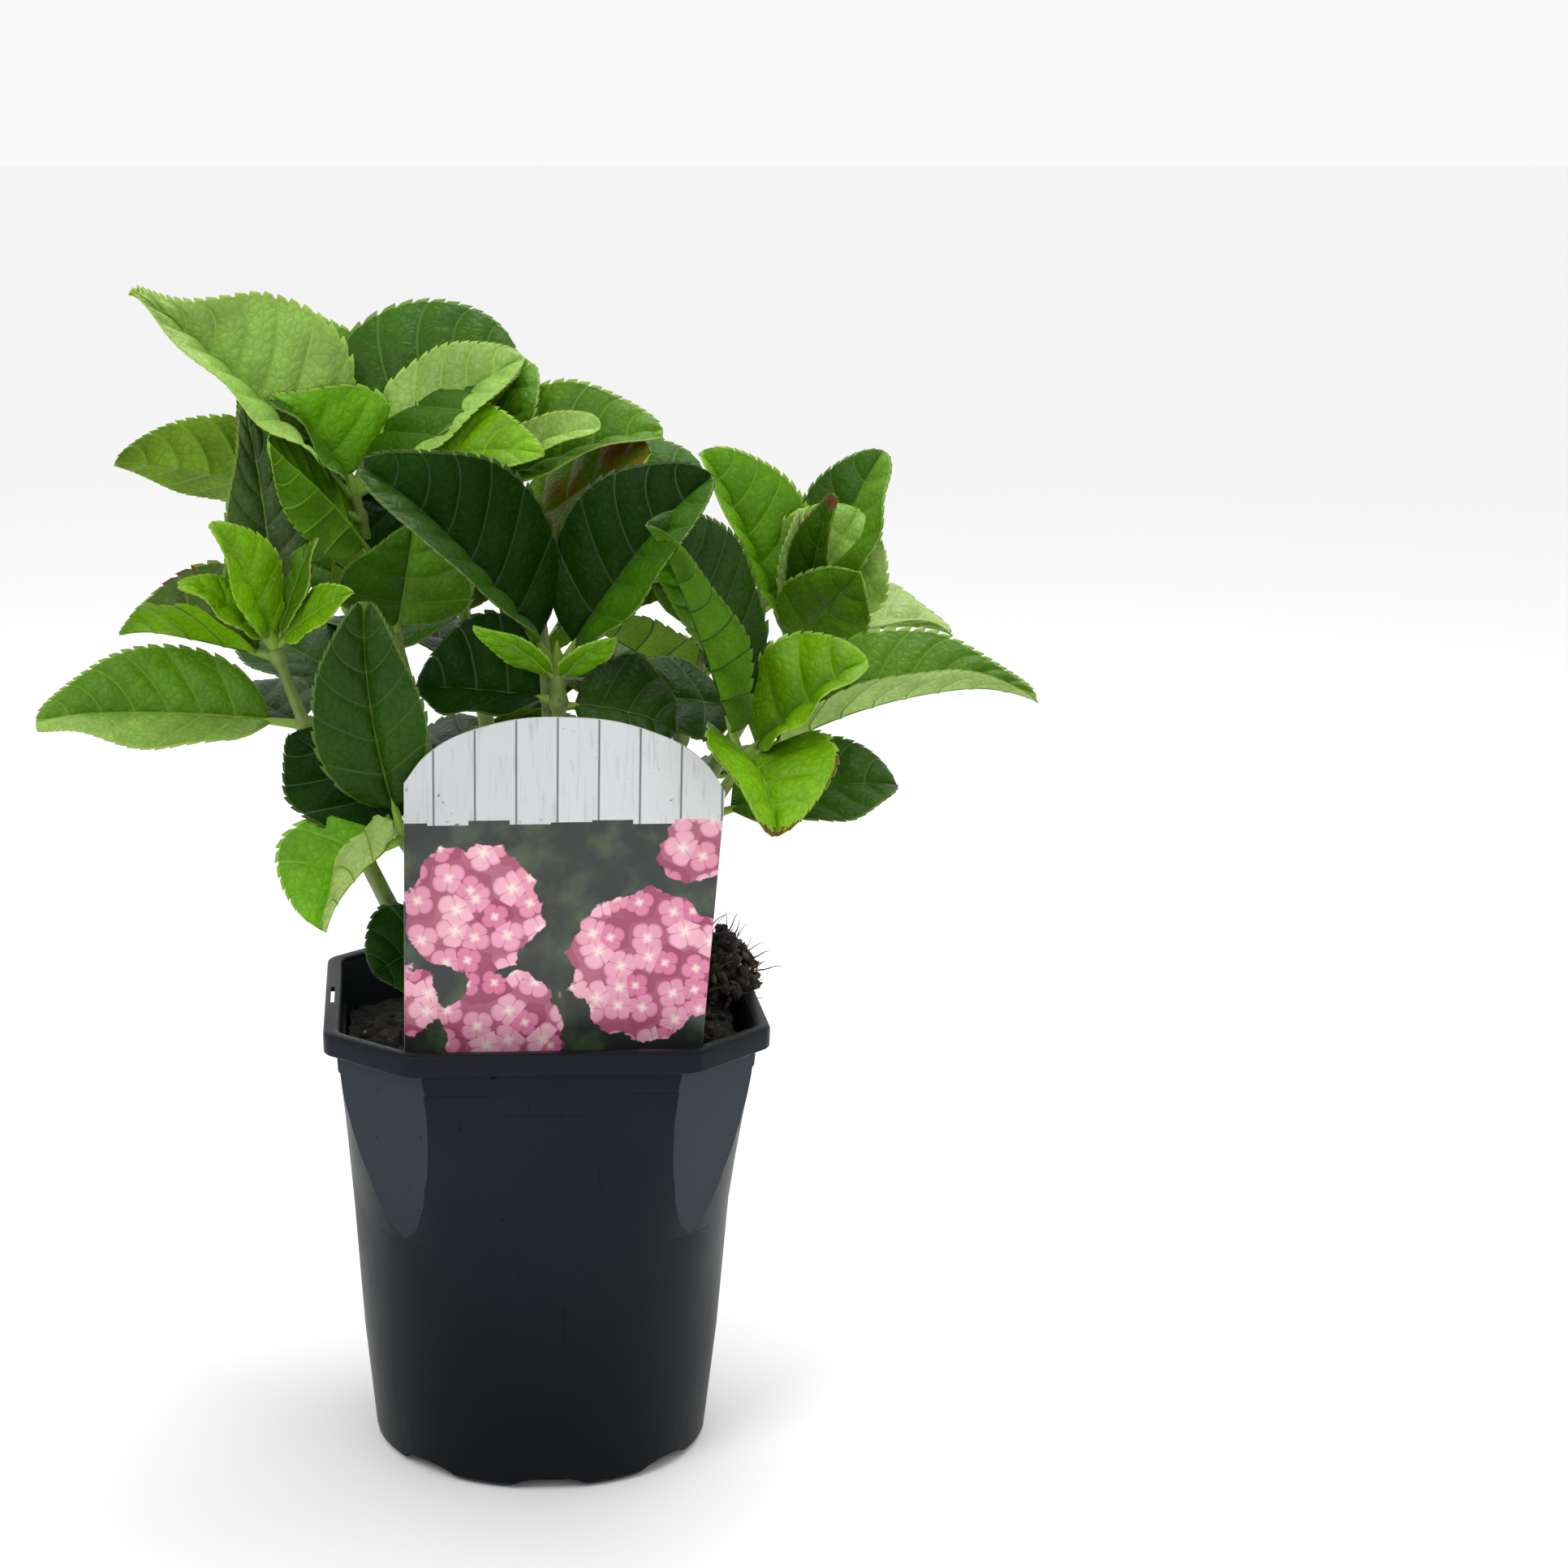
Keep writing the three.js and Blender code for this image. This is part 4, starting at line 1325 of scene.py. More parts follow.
@dataclass
class Shrub:
    """All canes, stalks and leaves of the plant."""

    shoots: tuple[Shoot, ...] = SHOOTS
    cane_foot: float = 3.3
    cane_fork: float = 2.5
    cane_tip: float = 1.5
    cane_sides: int = 20
    bud_sides: int = 12
    ring_step: float = 1.3
    stalk: bpy.types.Material = field(init=False)
    scorched: bpy.types.Material = field(init=False)

    def build(self) -> list[bpy.types.Object]:
        """Makes the canes and one joined piece of leaves per shoot.

        Returns:
            The pieces.
        """
        self.stalk = SapFinish("leaf_stalk", STALK_COLOUR, 0.4).build()
        self.scorched = BladeFinish("leaf_scorched", SCORCH_COLOUR, 0.7).build()
        skins = {tint: self._skins(tint) for tint in Tint}
        leaves = [self._leaves(number, shoot, skins) for number, shoot in enumerate(self.shoots)]
        return [self._canes(), *leaves]

    def _skins(self, tint: Tint) -> list[bpy.types.Material]:
        """The materials of a tint, in the order of KINDS.

        Args:
            tint: The tint.

        Returns:
            The materials.
        """
        name = tint.name.lower()
        colour = tint.value
        rust = RUST_SHARE if tint is Tint.RUSTY else 0.0

        def sap(share: float) -> Colour:
            """A colour between the blade's and the pale one of ribs."""
            return tuple(c + share * (r - c) for c, r in zip(colour, RIB_COLOUR))

        sheen = SHEEN.get(tint, PLAIN_SHEEN)
        faint = FAINT_VEINS.get(tint, 1.0)
        return [
            BladeFinish(f"leaf_{name}", colour, rust=rust, sheen=sheen).build(),
            SapFinish(f"vein_{name}", sap(VEIN_PALENESS * faint)).build(),
            SapFinish(f"rib_{name}", sap(RIB_PALENESS * faint)).build(),
            SapFinish(f"edge_{name}", sap(EDGE_PALENESS * faint), 0.55).build(),
            BladeFinish(f"under_{name}", colour, 0.62, 0.0005, rust, sheen=0.12).build(),
            self.scorched,
        ]

    def _leaves(
        self, number: int, shoot: Shoot, skins: dict[Tint, list[bpy.types.Material]]
    ) -> bpy.types.Object:
        """All leaves and stalks of one shoot, joined.

        Args:
            number: The shoot's place in the plant, for the seeds.
            shoot: The shoot.
            skins: Materials by tint.

        Returns:
            The piece.
        """
        stock = MeshStock()
        materials: list[bpy.types.Material] = []

        def slot(material: bpy.types.Material) -> int:
            """The number of a material in this piece."""
            if material not in materials:
                materials.append(material)
            return materials.index(material)

        for place, leaf in enumerate(shoot.all_leaves()):
            seed = LEAF_SEEDS[0] * number + LEAF_SEEDS[1] * place + LEAF_SEEDS[2]
            maker = LeafMaker(leaf, shoot.point(leaf.at), seed)
            vertices, faces, kinds = maker.blade()
            palette = [*skins[leaf.tint], *skins[leaf.half or leaf.tint]]
            for half in (0, len(KINDS)):
                palette[half + UNDER_SKIN] = skins[leaf.under][UNDER_SKIN]
            used = {kind: slot(palette[kind]) for kind in sorted(set(kinds.tolist()))}
            stock.put(vertices, faces, np.array([used[kind] for kind in kinds.tolist()]))
            vertices, faces = maker.stalk()
            stock.put(vertices, faces, np.full(len(faces), slot(self.stalk)))
        piece = stock.make(f"leaves_{shoot.name}", materials)
        return settle(piece, [f"mass_{shoot.name}"])

    def _canes(self) -> bpy.types.Object:
        """All canes, joined, with swollen joints, ridges and a bud at each crown.

        Returns:
            The piece.
        """
        stock = MeshStock()
        for number, shoot in enumerate(self.shoots):
            rng = random.Random(CANE_SEED + number)
            steps = np.diff(shoot.point(np.linspace(0, 1, 60)), axis=0)
            length = np.linalg.norm(steps, axis=1).sum()
            share = np.linspace(0.0, 1.0, int(length / self.ring_step))
            points = shoot.point(share)
            radius = np.interp(
                share, [0, CANE_SHARE, 1], [self.cane_foot, self.cane_fork, self.cane_tip]
            )
            for joint in sorted({leaf.at for leaf in shoot.all_leaves()} | {*CANE_JOINTS}):
                away = (share - joint) * length / JOINT_LENGTH
                radius = radius + JOINT_SWELL * np.exp(-(away**2))
            angle = np.arange(self.cane_sides) * 2 * math.pi / self.cane_sides
            ridges = 0.08 * np.cos(5 * angle + rng.uniform(0, 6))
            ridges += 0.05 * np.cos(9 * angle + rng.uniform(0, 6))
            grain = np.array([[rng.uniform(-0.05, 0.05) for _ in angle] for _ in share])
            table = radius[:, None] * (1 + ridges[None, :] * 0.6) + grain
            table[-1] *= 0.55
            vertices, faces = tube(points, table, self.cane_sides)
            stock.put(vertices, faces, np.zeros(len(faces), int))
            tip, before = points[-1], points[-4]
            aim = (tip - before) / np.linalg.norm(tip - before)
            bud = tip + aim * np.linspace(*BUD_REACH, len(BUD_RADII))[:, None]
            vertices, faces = tube(bud, np.array(BUD_RADII), self.bud_sides)
            stock.put(vertices, faces, np.ones(len(faces), int))
        piece = stock.make("canes", [CaneFinish().build(), self.stalk])
        return settle(piece, [f"cane_{shoot.name}" for shoot in self.shoots])


# Pot


@dataclass(frozen=True)
class Section:
    """A level outline of the pot: a square with rounded or cut corners."""

    z: float
    half: float
    corner: float


WAIST = Section(84, 62.6, 57)


@dataclass
class Pot:
    """The nursery pot: round at its foot, square with cut corners at its rim."""

    wall: float = 1.3
    rim_half: float = 71.0
    rim_top: float = 153.0
    rim_cut: float = 26.0
    skirt_depth: float = 7.0
    lip_width: float = 4.6
    lip_thick: float = 1.6
    slot_size: tuple[float, float, float] = (1.3, 18.0, 9.0)
    slot_y: float = -1.0
    corner_steps: int = 14
    face_foot: tuple[float, float] = (84.0, 65.0)
    face_top: tuple[float, float] = (153.0, 77.5)
    corner_face_area: float = 0.0002
    notches: int = 8
    notch_radius: float = 13.0
    notch_height: float = 4.5
    notch_length: float = 12.0
    notch_reach: float = 54.0
    notch_drop: float = 0.2
    panel_at: tuple[float, float, float] = (2.0, -66.2, 138.0)
    panel_size: tuple[float, float, float] = (51.0, 0.5, 12.0)
    panel_foot: tuple[float, float, float] = (2.0, -66.0, 132.0)
    panel_taper: float = 0.68
    pip_at: tuple[float, float, float] = (-18.0, -66.6, 144.2)
    pip_radius: float = 0.9
    lower: tuple[Section, ...] = (
        Section(0, 53, 52),
        Section(0.6, 54.4, 53.4),
        Section(2, 56, 55),
        Section(38, 59.6, 57),
        WAIST,
    )
    upper: tuple[Section, ...] = (
        WAIST,
        Section(94, 63.2, 52.5),
        Section(104, 63.8, 48),
        Section(113, 64.35, 43),
        Section(122, 64.9, 38),
        Section(130, 65.5, 33),
        Section(138, 66, 28),
        Section(138.6, 66.6, 28),
        Section(151.4, 67.2, 24),
    )

    def build(self) -> list[bpy.types.Object]:
        """Makes the body, the rim and the raised tab.

        Returns:
            The pieces.
        """
        plastic = PotFinish().build()
        # The flat corner faces get a lighter copy of the plastic: painted sheen.
        corner_painted_sheen = PotFinish("pot_corner_painted_sheen", CORNER_SLATE_PAINTED_SHEEN, CORNER_DUST_PAINTED_SHEEN).build()
        pieces = [self._body(), self._rim(), self._panel()]
        for piece in pieces:
            dress(piece, plastic)
            settle(piece, ["pot"])
        body = pieces[0].data
        body.materials.append(corner_painted_sheen)
        for face in body.polygons:
            diagonal = abs(abs(face.normal.x) - abs(face.normal.y)) < 0.05
            outward = face.normal.x * face.center.x > 0
            if diagonal and outward and face.area > self.corner_face_area:
                face.material_index = 1
        return pieces

    def _outline(self, section: Section, soften: float = 0.0) -> None:
        """Adds a section's outline to the mesh in edit mode.

        Args:
            section: Its sizes.
            soften: Where above 0, corners are cut straight and softened by this much.
        """
        bpy.ops.mesh.select_all(action="DESELECT")
        bpy.ops.mesh.primitive_plane_add(
            size=2 * section.half * MM, location=(0, 0, section.z * MM)
        )
        steps = 1 if soften else self.corner_steps
        bpy.ops.mesh.bevel(offset=section.corner * MM, segments=steps, affect="VERTICES")
        if soften:
            bpy.ops.mesh.bevel(offset=soften * MM, segments=4, affect="VERTICES")
        bpy.ops.mesh.delete(type="ONLY_FACE")

    def _bridge(self, piece: bpy.types.Object, sizes: list[int]) -> None:
        """Bridges outlines one after another.

        Args:
            piece: The object in edit mode, with only outlines in its mesh.
            sizes: How many vertices each outline has, in order.
        """
        starts = np.concatenate([[0], np.cumsum(sizes)])
        for number in range(len(sizes) - 1):
            low, middle, high = starts[number], starts[number + 1], starts[number + 2]

            def ours(edge: bpy.types.MeshEdge) -> bool:
                """Whether an edge is part of either outline.

                Args:
                    edge: The edge.

                Returns:
                    True where it is.
                """
                first, second = edge.vertices
                one = low <= first < middle and low <= second < middle
                other = middle <= first < high and middle <= second < high
                return one or other

            select_where(piece, "EDGE", ours)
            bpy.ops.mesh.bridge_edge_loops()

    def _loft(
        self, name: str, sections: tuple[Section, ...], soften: float = 0.0
    ) -> bpy.types.Object:
        """A skin over sections, open at both ends.

        Args:
            name: The piece's name.
            sections: The sections in order.
            soften: As for an outline.

        Returns:
            The object, in edit mode.
        """
        piece = start_piece(name)
        sizes = []
        for section in sections:
            self._outline(section, soften)
            bpy.ops.object.mode_set(mode="OBJECT")
            sizes.append(len(piece.data.vertices) - sum(sizes))
            bpy.ops.object.mode_set(mode="EDIT")
        self._bridge(piece, sizes)
        return piece

    def _body(self) -> bpy.types.Object:
        """The pot's wall and floor, with flat faces at its corners and drain notches.

        Returns:
            The piece.
        """
        piece = self._loft("pot_body_top", self.upper)
        for z in (self.upper[0].z, self.upper[-1].z):
            select_where(piece, "EDGE", self._level_at(piece, z))
            bpy.ops.mesh.edge_face_add()
        bpy.ops.mesh.select_all(action="SELECT")
        bpy.ops.mesh.normals_make_consistent()
        (low_z, low_reach), (top_z, top_reach) = self.face_foot, self.face_top
        lean = (top_reach - low_reach) / (top_z - low_z)
        for sx, sy in ((1, 1), (-1, 1), (-1, -1), (1, -1)):
            point = np.array([sx, sy, 0]) / math.sqrt(2) * low_reach + UP * low_z
            bpy.ops.mesh.select_all(action="SELECT")
            bpy.ops.mesh.bisect(
                plane_co=tuple(point * MM),
                plane_no=(sx / math.sqrt(2), sy / math.sqrt(2), -lean),
                clear_outer=True,
                use_fill=True,
            )
        for z in (self.upper[0].z, self.upper[-1].z):
            if select_where(piece, "FACE", self._level_at(piece, z)):
                bpy.ops.mesh.delete(type="ONLY_FACE")
        bpy.ops.object.mode_set(mode="OBJECT")
        foot = self._loft("pot_body", self.lower)
        select_where(foot, "EDGE", self._level_at(foot, 0.0))
        bpy.ops.mesh.edge_face_add()
        bpy.ops.object.mode_set(mode="OBJECT")
        activate(foot)
        piece.select_set(True)
        bpy.ops.object.join()
        bpy.ops.object.mode_set(mode="EDIT")
        close_up(merge=0.2)
        apply_modifier(foot, "SOLIDIFY", thickness=self.wall * MM, offset=-1.0)
        for cutter in self._notch_cutters():
            cut_out(foot, cutter)
        smooth(foot, angle=9)
        return foot

    @staticmethod
    def _level_at(piece: bpy.types.Object, z: float) -> Callable[[bpy.types.bpy_struct], bool]:
        """A test for level edges or faces at a height.

        Args:
            piece: The object.
            z: The height in millimetres.

        Returns:
            A function that takes an edge or a face.
        """
        return lambda element: all(
            abs(piece.data.vertices[v].co.z - z * MM) < 0.05 * MM for v in element.vertices
        )

    def _notch_cutters(self) -> list[bpy.types.Object]:
        """Flattened cylinders across the foot of the wall.

        Returns:
            The cylinders, placed round the foot.
        """
        cutters = []
        for number in range(self.notches):
            angle = -math.pi / 2 + 2 * math.pi * number / self.notches
            deselect_all()
            bpy.ops.mesh.primitive_cylinder_add(
                vertices=32,
                radius=self.notch_radius * MM,
                depth=self.notch_length * MM,
                rotation=(0, math.pi / 2, 0),
            )
            cutter = bpy.context.object
            bpy.ops.object.transform_apply()
            cutter.scale = (1, 1, self.notch_height / self.notch_radius)
            bpy.ops.object.transform_apply(location=False, rotation=False, scale=True)
            cutter.rotation_euler = (0, 0, angle)
            reach = self.notch_reach * MM
            drop = self.notch_drop * MM
            cutter.location = (reach * math.cos(angle), reach * math.sin(angle), -drop)
            bpy.ops.object.transform_apply()
            cutters.append(cutter)
        return cutters

    def _rim(self) -> bpy.types.Object:
        """The rim: a skirt, a flat lip with a hanger slot, and softened edges.

        Returns:
            The piece.
        """
        top, foot = self.rim_top, self.rim_top - self.skirt_depth
        under = top - self.lip_thick
        outer, inner = self.rim_half, self.rim_half - self.lip_width
        sections = tuple(
            Section(z, half, self.rim_cut - (outer - half) * 0.6)
            for z, half in (
                (foot + 0.2, outer - 1.1),
                (foot + 0.03, outer - 0.8),
                (foot, outer - 0.3),
                (foot + 0.3, outer),
                (top - 1.2, outer + 0.1),
                (top - 0.4, outer - 0.15),
                (top, outer - 0.7),
                (top - 0.03, inner + 0.5),
                (top - 0.4, inner),
                (under - 1.4, inner),
                (under - 1.37, inner + 0.4),
                (under, inner + 1.2),
                (under - 0.03, outer - 1.4),
            )
        )
        piece = self._loft("pot_rim", (*sections, sections[0]), soften=3.0)
        close_up(merge=0.01)
        deselect_all()
        bpy.ops.mesh.primitive_cube_add(
            size=1,
            location=(-(outer + inner) / 2 * MM, self.slot_y * MM, top * MM),
            scale=metres(self.slot_size),
        )
        cutter = bpy.context.object
        bpy.ops.object.transform_apply()
        cut_out(piece, cutter)
        smooth(piece, angle=40)
        return piece

    def _panel(self) -> bpy.types.Object:
        """A faint raised tab under the rim's front, with its moulding pip.

        Returns:
            The piece.
        """
        piece = start_piece("pot_panel")
        bpy.ops.mesh.primitive_cube_add(
            size=1, location=metres(self.panel_at), scale=metres(self.panel_size)
        )
        select_where(piece, "VERT", lambda vertex: vertex.co.z < self.panel_at[2] * MM)
        bpy.ops.transform.resize(
            value=(self.panel_taper, 1, 1), center_override=metres(self.panel_foot)
        )
        bpy.ops.mesh.select_mode(type="EDGE")
        bpy.ops.mesh.select_all(action="SELECT")
        bpy.ops.mesh.bevel(offset=0.25 * MM, segments=2)
        bpy.ops.mesh.select_all(action="DESELECT")
        bpy.ops.mesh.primitive_uv_sphere_add(
            segments=12, ring_count=8, radius=self.pip_radius * MM, location=metres(self.pip_at)
        )
        bpy.ops.object.mode_set(mode="OBJECT")
        smooth(piece, angle=40)
        return piece


# Soil

CRUMB_SHARES = (0.62, 0.33, 0.05)
CRUMB_SIZES = ((0.6, 2.2), (0.5, 1.1), (0.4, 0.9))
CRUMB_STRETCHES = ((0.9, 1.5), (1.2, 4.5), (0.9, 1.5))
CRUMB_SEED = 71
ROOT_SEED = 43
CRUMB_RINGS = 5
CRUMB_SIDES = 6
ROOT_RINGS = 9
ROOT_SIDES = 6
SOIL_LUMPS = (("lumps", 11.0, 4.2), ("crumb", 3.6, 2.6), ("grain", 1.5, 1.1))


@dataclass
class Soil:
    """The potting soil: a crumbly heap with bark, grit and rootlets."""

    cut_z: float = 124.0
    voxel: float = 1.0
    crumbs: int = 620
    roots: int = 90
    mound_crumbs: int = 520
    mound_roots: int = 70
    mound_at: tuple[float, float, float] = (60.5, 8.0, 150.0)
    mound_size: tuple[float, float, float] = (11.5, 18.0, 19.0)
    reach: float = 59.0
    right_from: float = 30.0

    def build(self) -> list[bpy.types.Object]:
        """Makes the heap and what lies in it.

        Returns:
            The pieces.
        """
        heap = self._heap()
        dress(heap, SoilFinish().build())
        settle(heap, ["soil"])
        return [heap, self._crumbs(heap), self._roots(heap)]

    def _heap(self) -> bpy.types.Object:
        """The top of a copy of the soil block, made crumbly.

        Returns:
            The heap.
        """
        plain = bpy.data.objects["soil"]
        heap = plain.copy()
        heap.data = plain.data.copy()
        heap.name = heap.data.name = "soil_heap"
        for key in list(heap.keys()):
            del heap[key]
        heap.parent = None
        bpy.context.scene.collection.objects.link(heap)
        activate(heap)
        bpy.ops.object.mode_set(mode="EDIT")
        bpy.ops.mesh.select_all(action="SELECT")
        bpy.ops.mesh.remove_doubles(threshold=0.01 * MM)
        foot = (0, 0, self.cut_z * MM)
        bpy.ops.mesh.bisect(plane_co=foot, plane_no=(0, 0, 1), clear_inner=True, use_fill=True)
        bpy.ops.object.mode_set(mode="OBJECT")
        apply_modifier(heap, "REMESH", mode="VOXEL", voxel_size=self.voxel * MM, adaptivity=0.0)
        for name, size, strength in SOIL_LUMPS:
            texture = bpy.data.textures.new(f"soil_{name}", "CLOUDS")
            texture.noise_scale = size * MM
            texture.noise_depth = 2
            apply_modifier(
                heap,
                "DISPLACE",
                texture=texture,
                strength=strength * MM,
                mid_level=0.62,
                texture_coords="LOCAL",
            )
        bpy.ops.object.shade_smooth()
        return heap

    def _surface(
        self, heap: bpy.types.Object, rng: random.Random, right: float
    ) -> tuple[np.ndarray, np.ndarray]:
        """A random point of the soil's upper surface.

        Args:
            heap: The heap.
            rng: Where the choice comes from.
            right: Share of the picks that favour the heap's right side.

        Returns:
            The point and the normal there, in millimetres.
        """
        mesh = heap.data
        while True:
            vertex = mesh.vertices[rng.randrange(len(mesh.vertices))]
            point = np.array(vertex.co) / MM
            wanted = vertex.co.x > self.right_from * MM or rng.random() > right
            if wanted and self._spread(point) < self.reach and vertex.normal.z > 0.25:
                return point, np.array(vertex.normal)

    @staticmethod
    def _spread(points: np.ndarray) -> np.ndarray:
        """How far out points are in the pot, whose corners are cut."""
        level = np.abs(points[..., :2])
        return np.maximum(level.max(-1), level.sum(-1) * 0.68)

    def _mound(self, rng: random.Random) -> tuple[np.ndarray, np.ndarray]:
        """A random point on the loose mound that tops the heap.

        Args:
            rng: Where the choice comes from.

        Returns:
            The point and the direction out of the mound, in millimetres.
        """
        turn = rng.uniform(0, 2 * math.pi)
        lift = rng.uniform(0, 1) ** 0.8
        level = math.sqrt(1 - lift * lift)
        normal = np.array([level * math.cos(turn), level * math.sin(turn), lift])
        depth = 1 - 0.35 * rng.random() ** 2
        lumpy = 1 + 0.12 * math.sin(3 * turn + 5 * lift)
        point = np.array(self.mound_at) + normal * np.array(self.mound_size) * depth * lumpy
        return point, normal

    def _crumbs(self, heap: bpy.types.Object) -> bpy.types.Object:
        """Lumps of peat, bark chips and white grit, joined.

        Args:
            heap: The heap that they lie on.

        Returns:
            The piece.
        """
        rng = random.Random(CRUMB_SEED)
        stock = MeshStock()
        for number in range(self.crumbs + self.mound_crumbs):
            if number < self.crumbs:
                point, normal = self._surface(heap, rng, 0.35)
            else:
                point, normal = self._mound(rng)
            kind = rng.choices(range(len(CRUMB_SHARES)), CRUMB_SHARES)[0]
            size = [rng.uniform(*limits) for limits in CRUMB_SIZES][kind]
            length = size * rng.uniform(*CRUMB_STRETCHES[kind])
            aim = normal * rng.uniform(-0.2, 0.5)
            aim += np.array([rng.uniform(-1, 1) for _ in range(3)])
            aim /= np.linalg.norm(aim)
            steps = np.linspace(-1, 1, CRUMB_RINGS)
            radii = size * np.sqrt(np.clip(1.08 - steps**2, 0.05, 1))
            rough = [[rng.uniform(0.6, 1.25) for _ in range(CRUMB_SIDES)] for _ in steps]
            path = point + aim * length * steps[:, None]
            vertices, faces = tube(path, radii[:, None] * np.array(rough), CRUMB_SIDES)
            stock.put(vertices, faces, np.full(len(faces), kind))
        materials = [
            SoilFinish("peat_crumb", (0.012, 0.009, 0.006), (0.05, 0.035, 0.022)).build(),
            ChipFinish("bark_chip", (0.07, 0.04, 0.022)).build(),
            ChipFinish("white_grit", (0.42, 0.4, 0.36)).build(),
        ]
        piece = stock.make("soil_crumbs", materials)
        return settle(piece, ["soil"])

    def _roots(self, heap: bpy.types.Object) -> bpy.types.Object:
        """Thin rootlets that curl over the heap and stick out at its right side.

        Args:
            heap: The heap that they grow from.

        Returns:
            The piece.
        """
        rng = random.Random(ROOT_SEED)
        stock = MeshStock()
        for number in range(self.roots + self.mound_roots):
            free = number >= self.roots
            point, normal = self._mound(rng) if free else self._surface(heap, rng, 0.75)
            aim = np.array([rng.uniform(-1, 1), rng.uniform(-1, 1), rng.uniform(-0.2, 0.3)])
            if free:
                aim = normal + np.array([rng.uniform(0, 0.9), rng.uniform(-0.6, 0.4), 0.1])
            aim /= np.linalg.norm(aim)
            swing = np.cross(aim, UP + 0.01)
            swing /= np.linalg.norm(swing)
            length = rng.uniform(5, 13) if free else rng.uniform(8, 22)
            steps = np.linspace(0, 1, ROOT_RINGS)
            curl = rng.uniform(-0.35, 0.35)
            path = (
                point
                + aim * (length * (steps - 0.25))[:, None]
                + swing * (length * curl * np.sin(math.pi * steps))[:, None]
                + UP * ((0.0 if free else 0.4) + np.sin(9 * steps) * 0.35)[:, None]
            )
            if not free:
                over = self._spread(path) / (self.reach + 1.5)
                path[:, :2] /= np.maximum(over, 1.0)[:, None]
            radii = rng.uniform(0.16, 0.42) * (1.1 - 0.8 * steps)
            vertices, faces = tube(path, radii, ROOT_SIDES)
            stock.put(vertices, faces, np.full(len(faces), rng.choice((0, 0, 1))))
        materials = [
            ChipFinish("root_dark", (0.022, 0.013, 0.008)).build(),
            ChipFinish("root_pale", (0.15, 0.1, 0.055)).build(),
        ]
        piece = stock.make("soil_rootlets", materials)
        return settle(piece, ["soil"])


# Label card


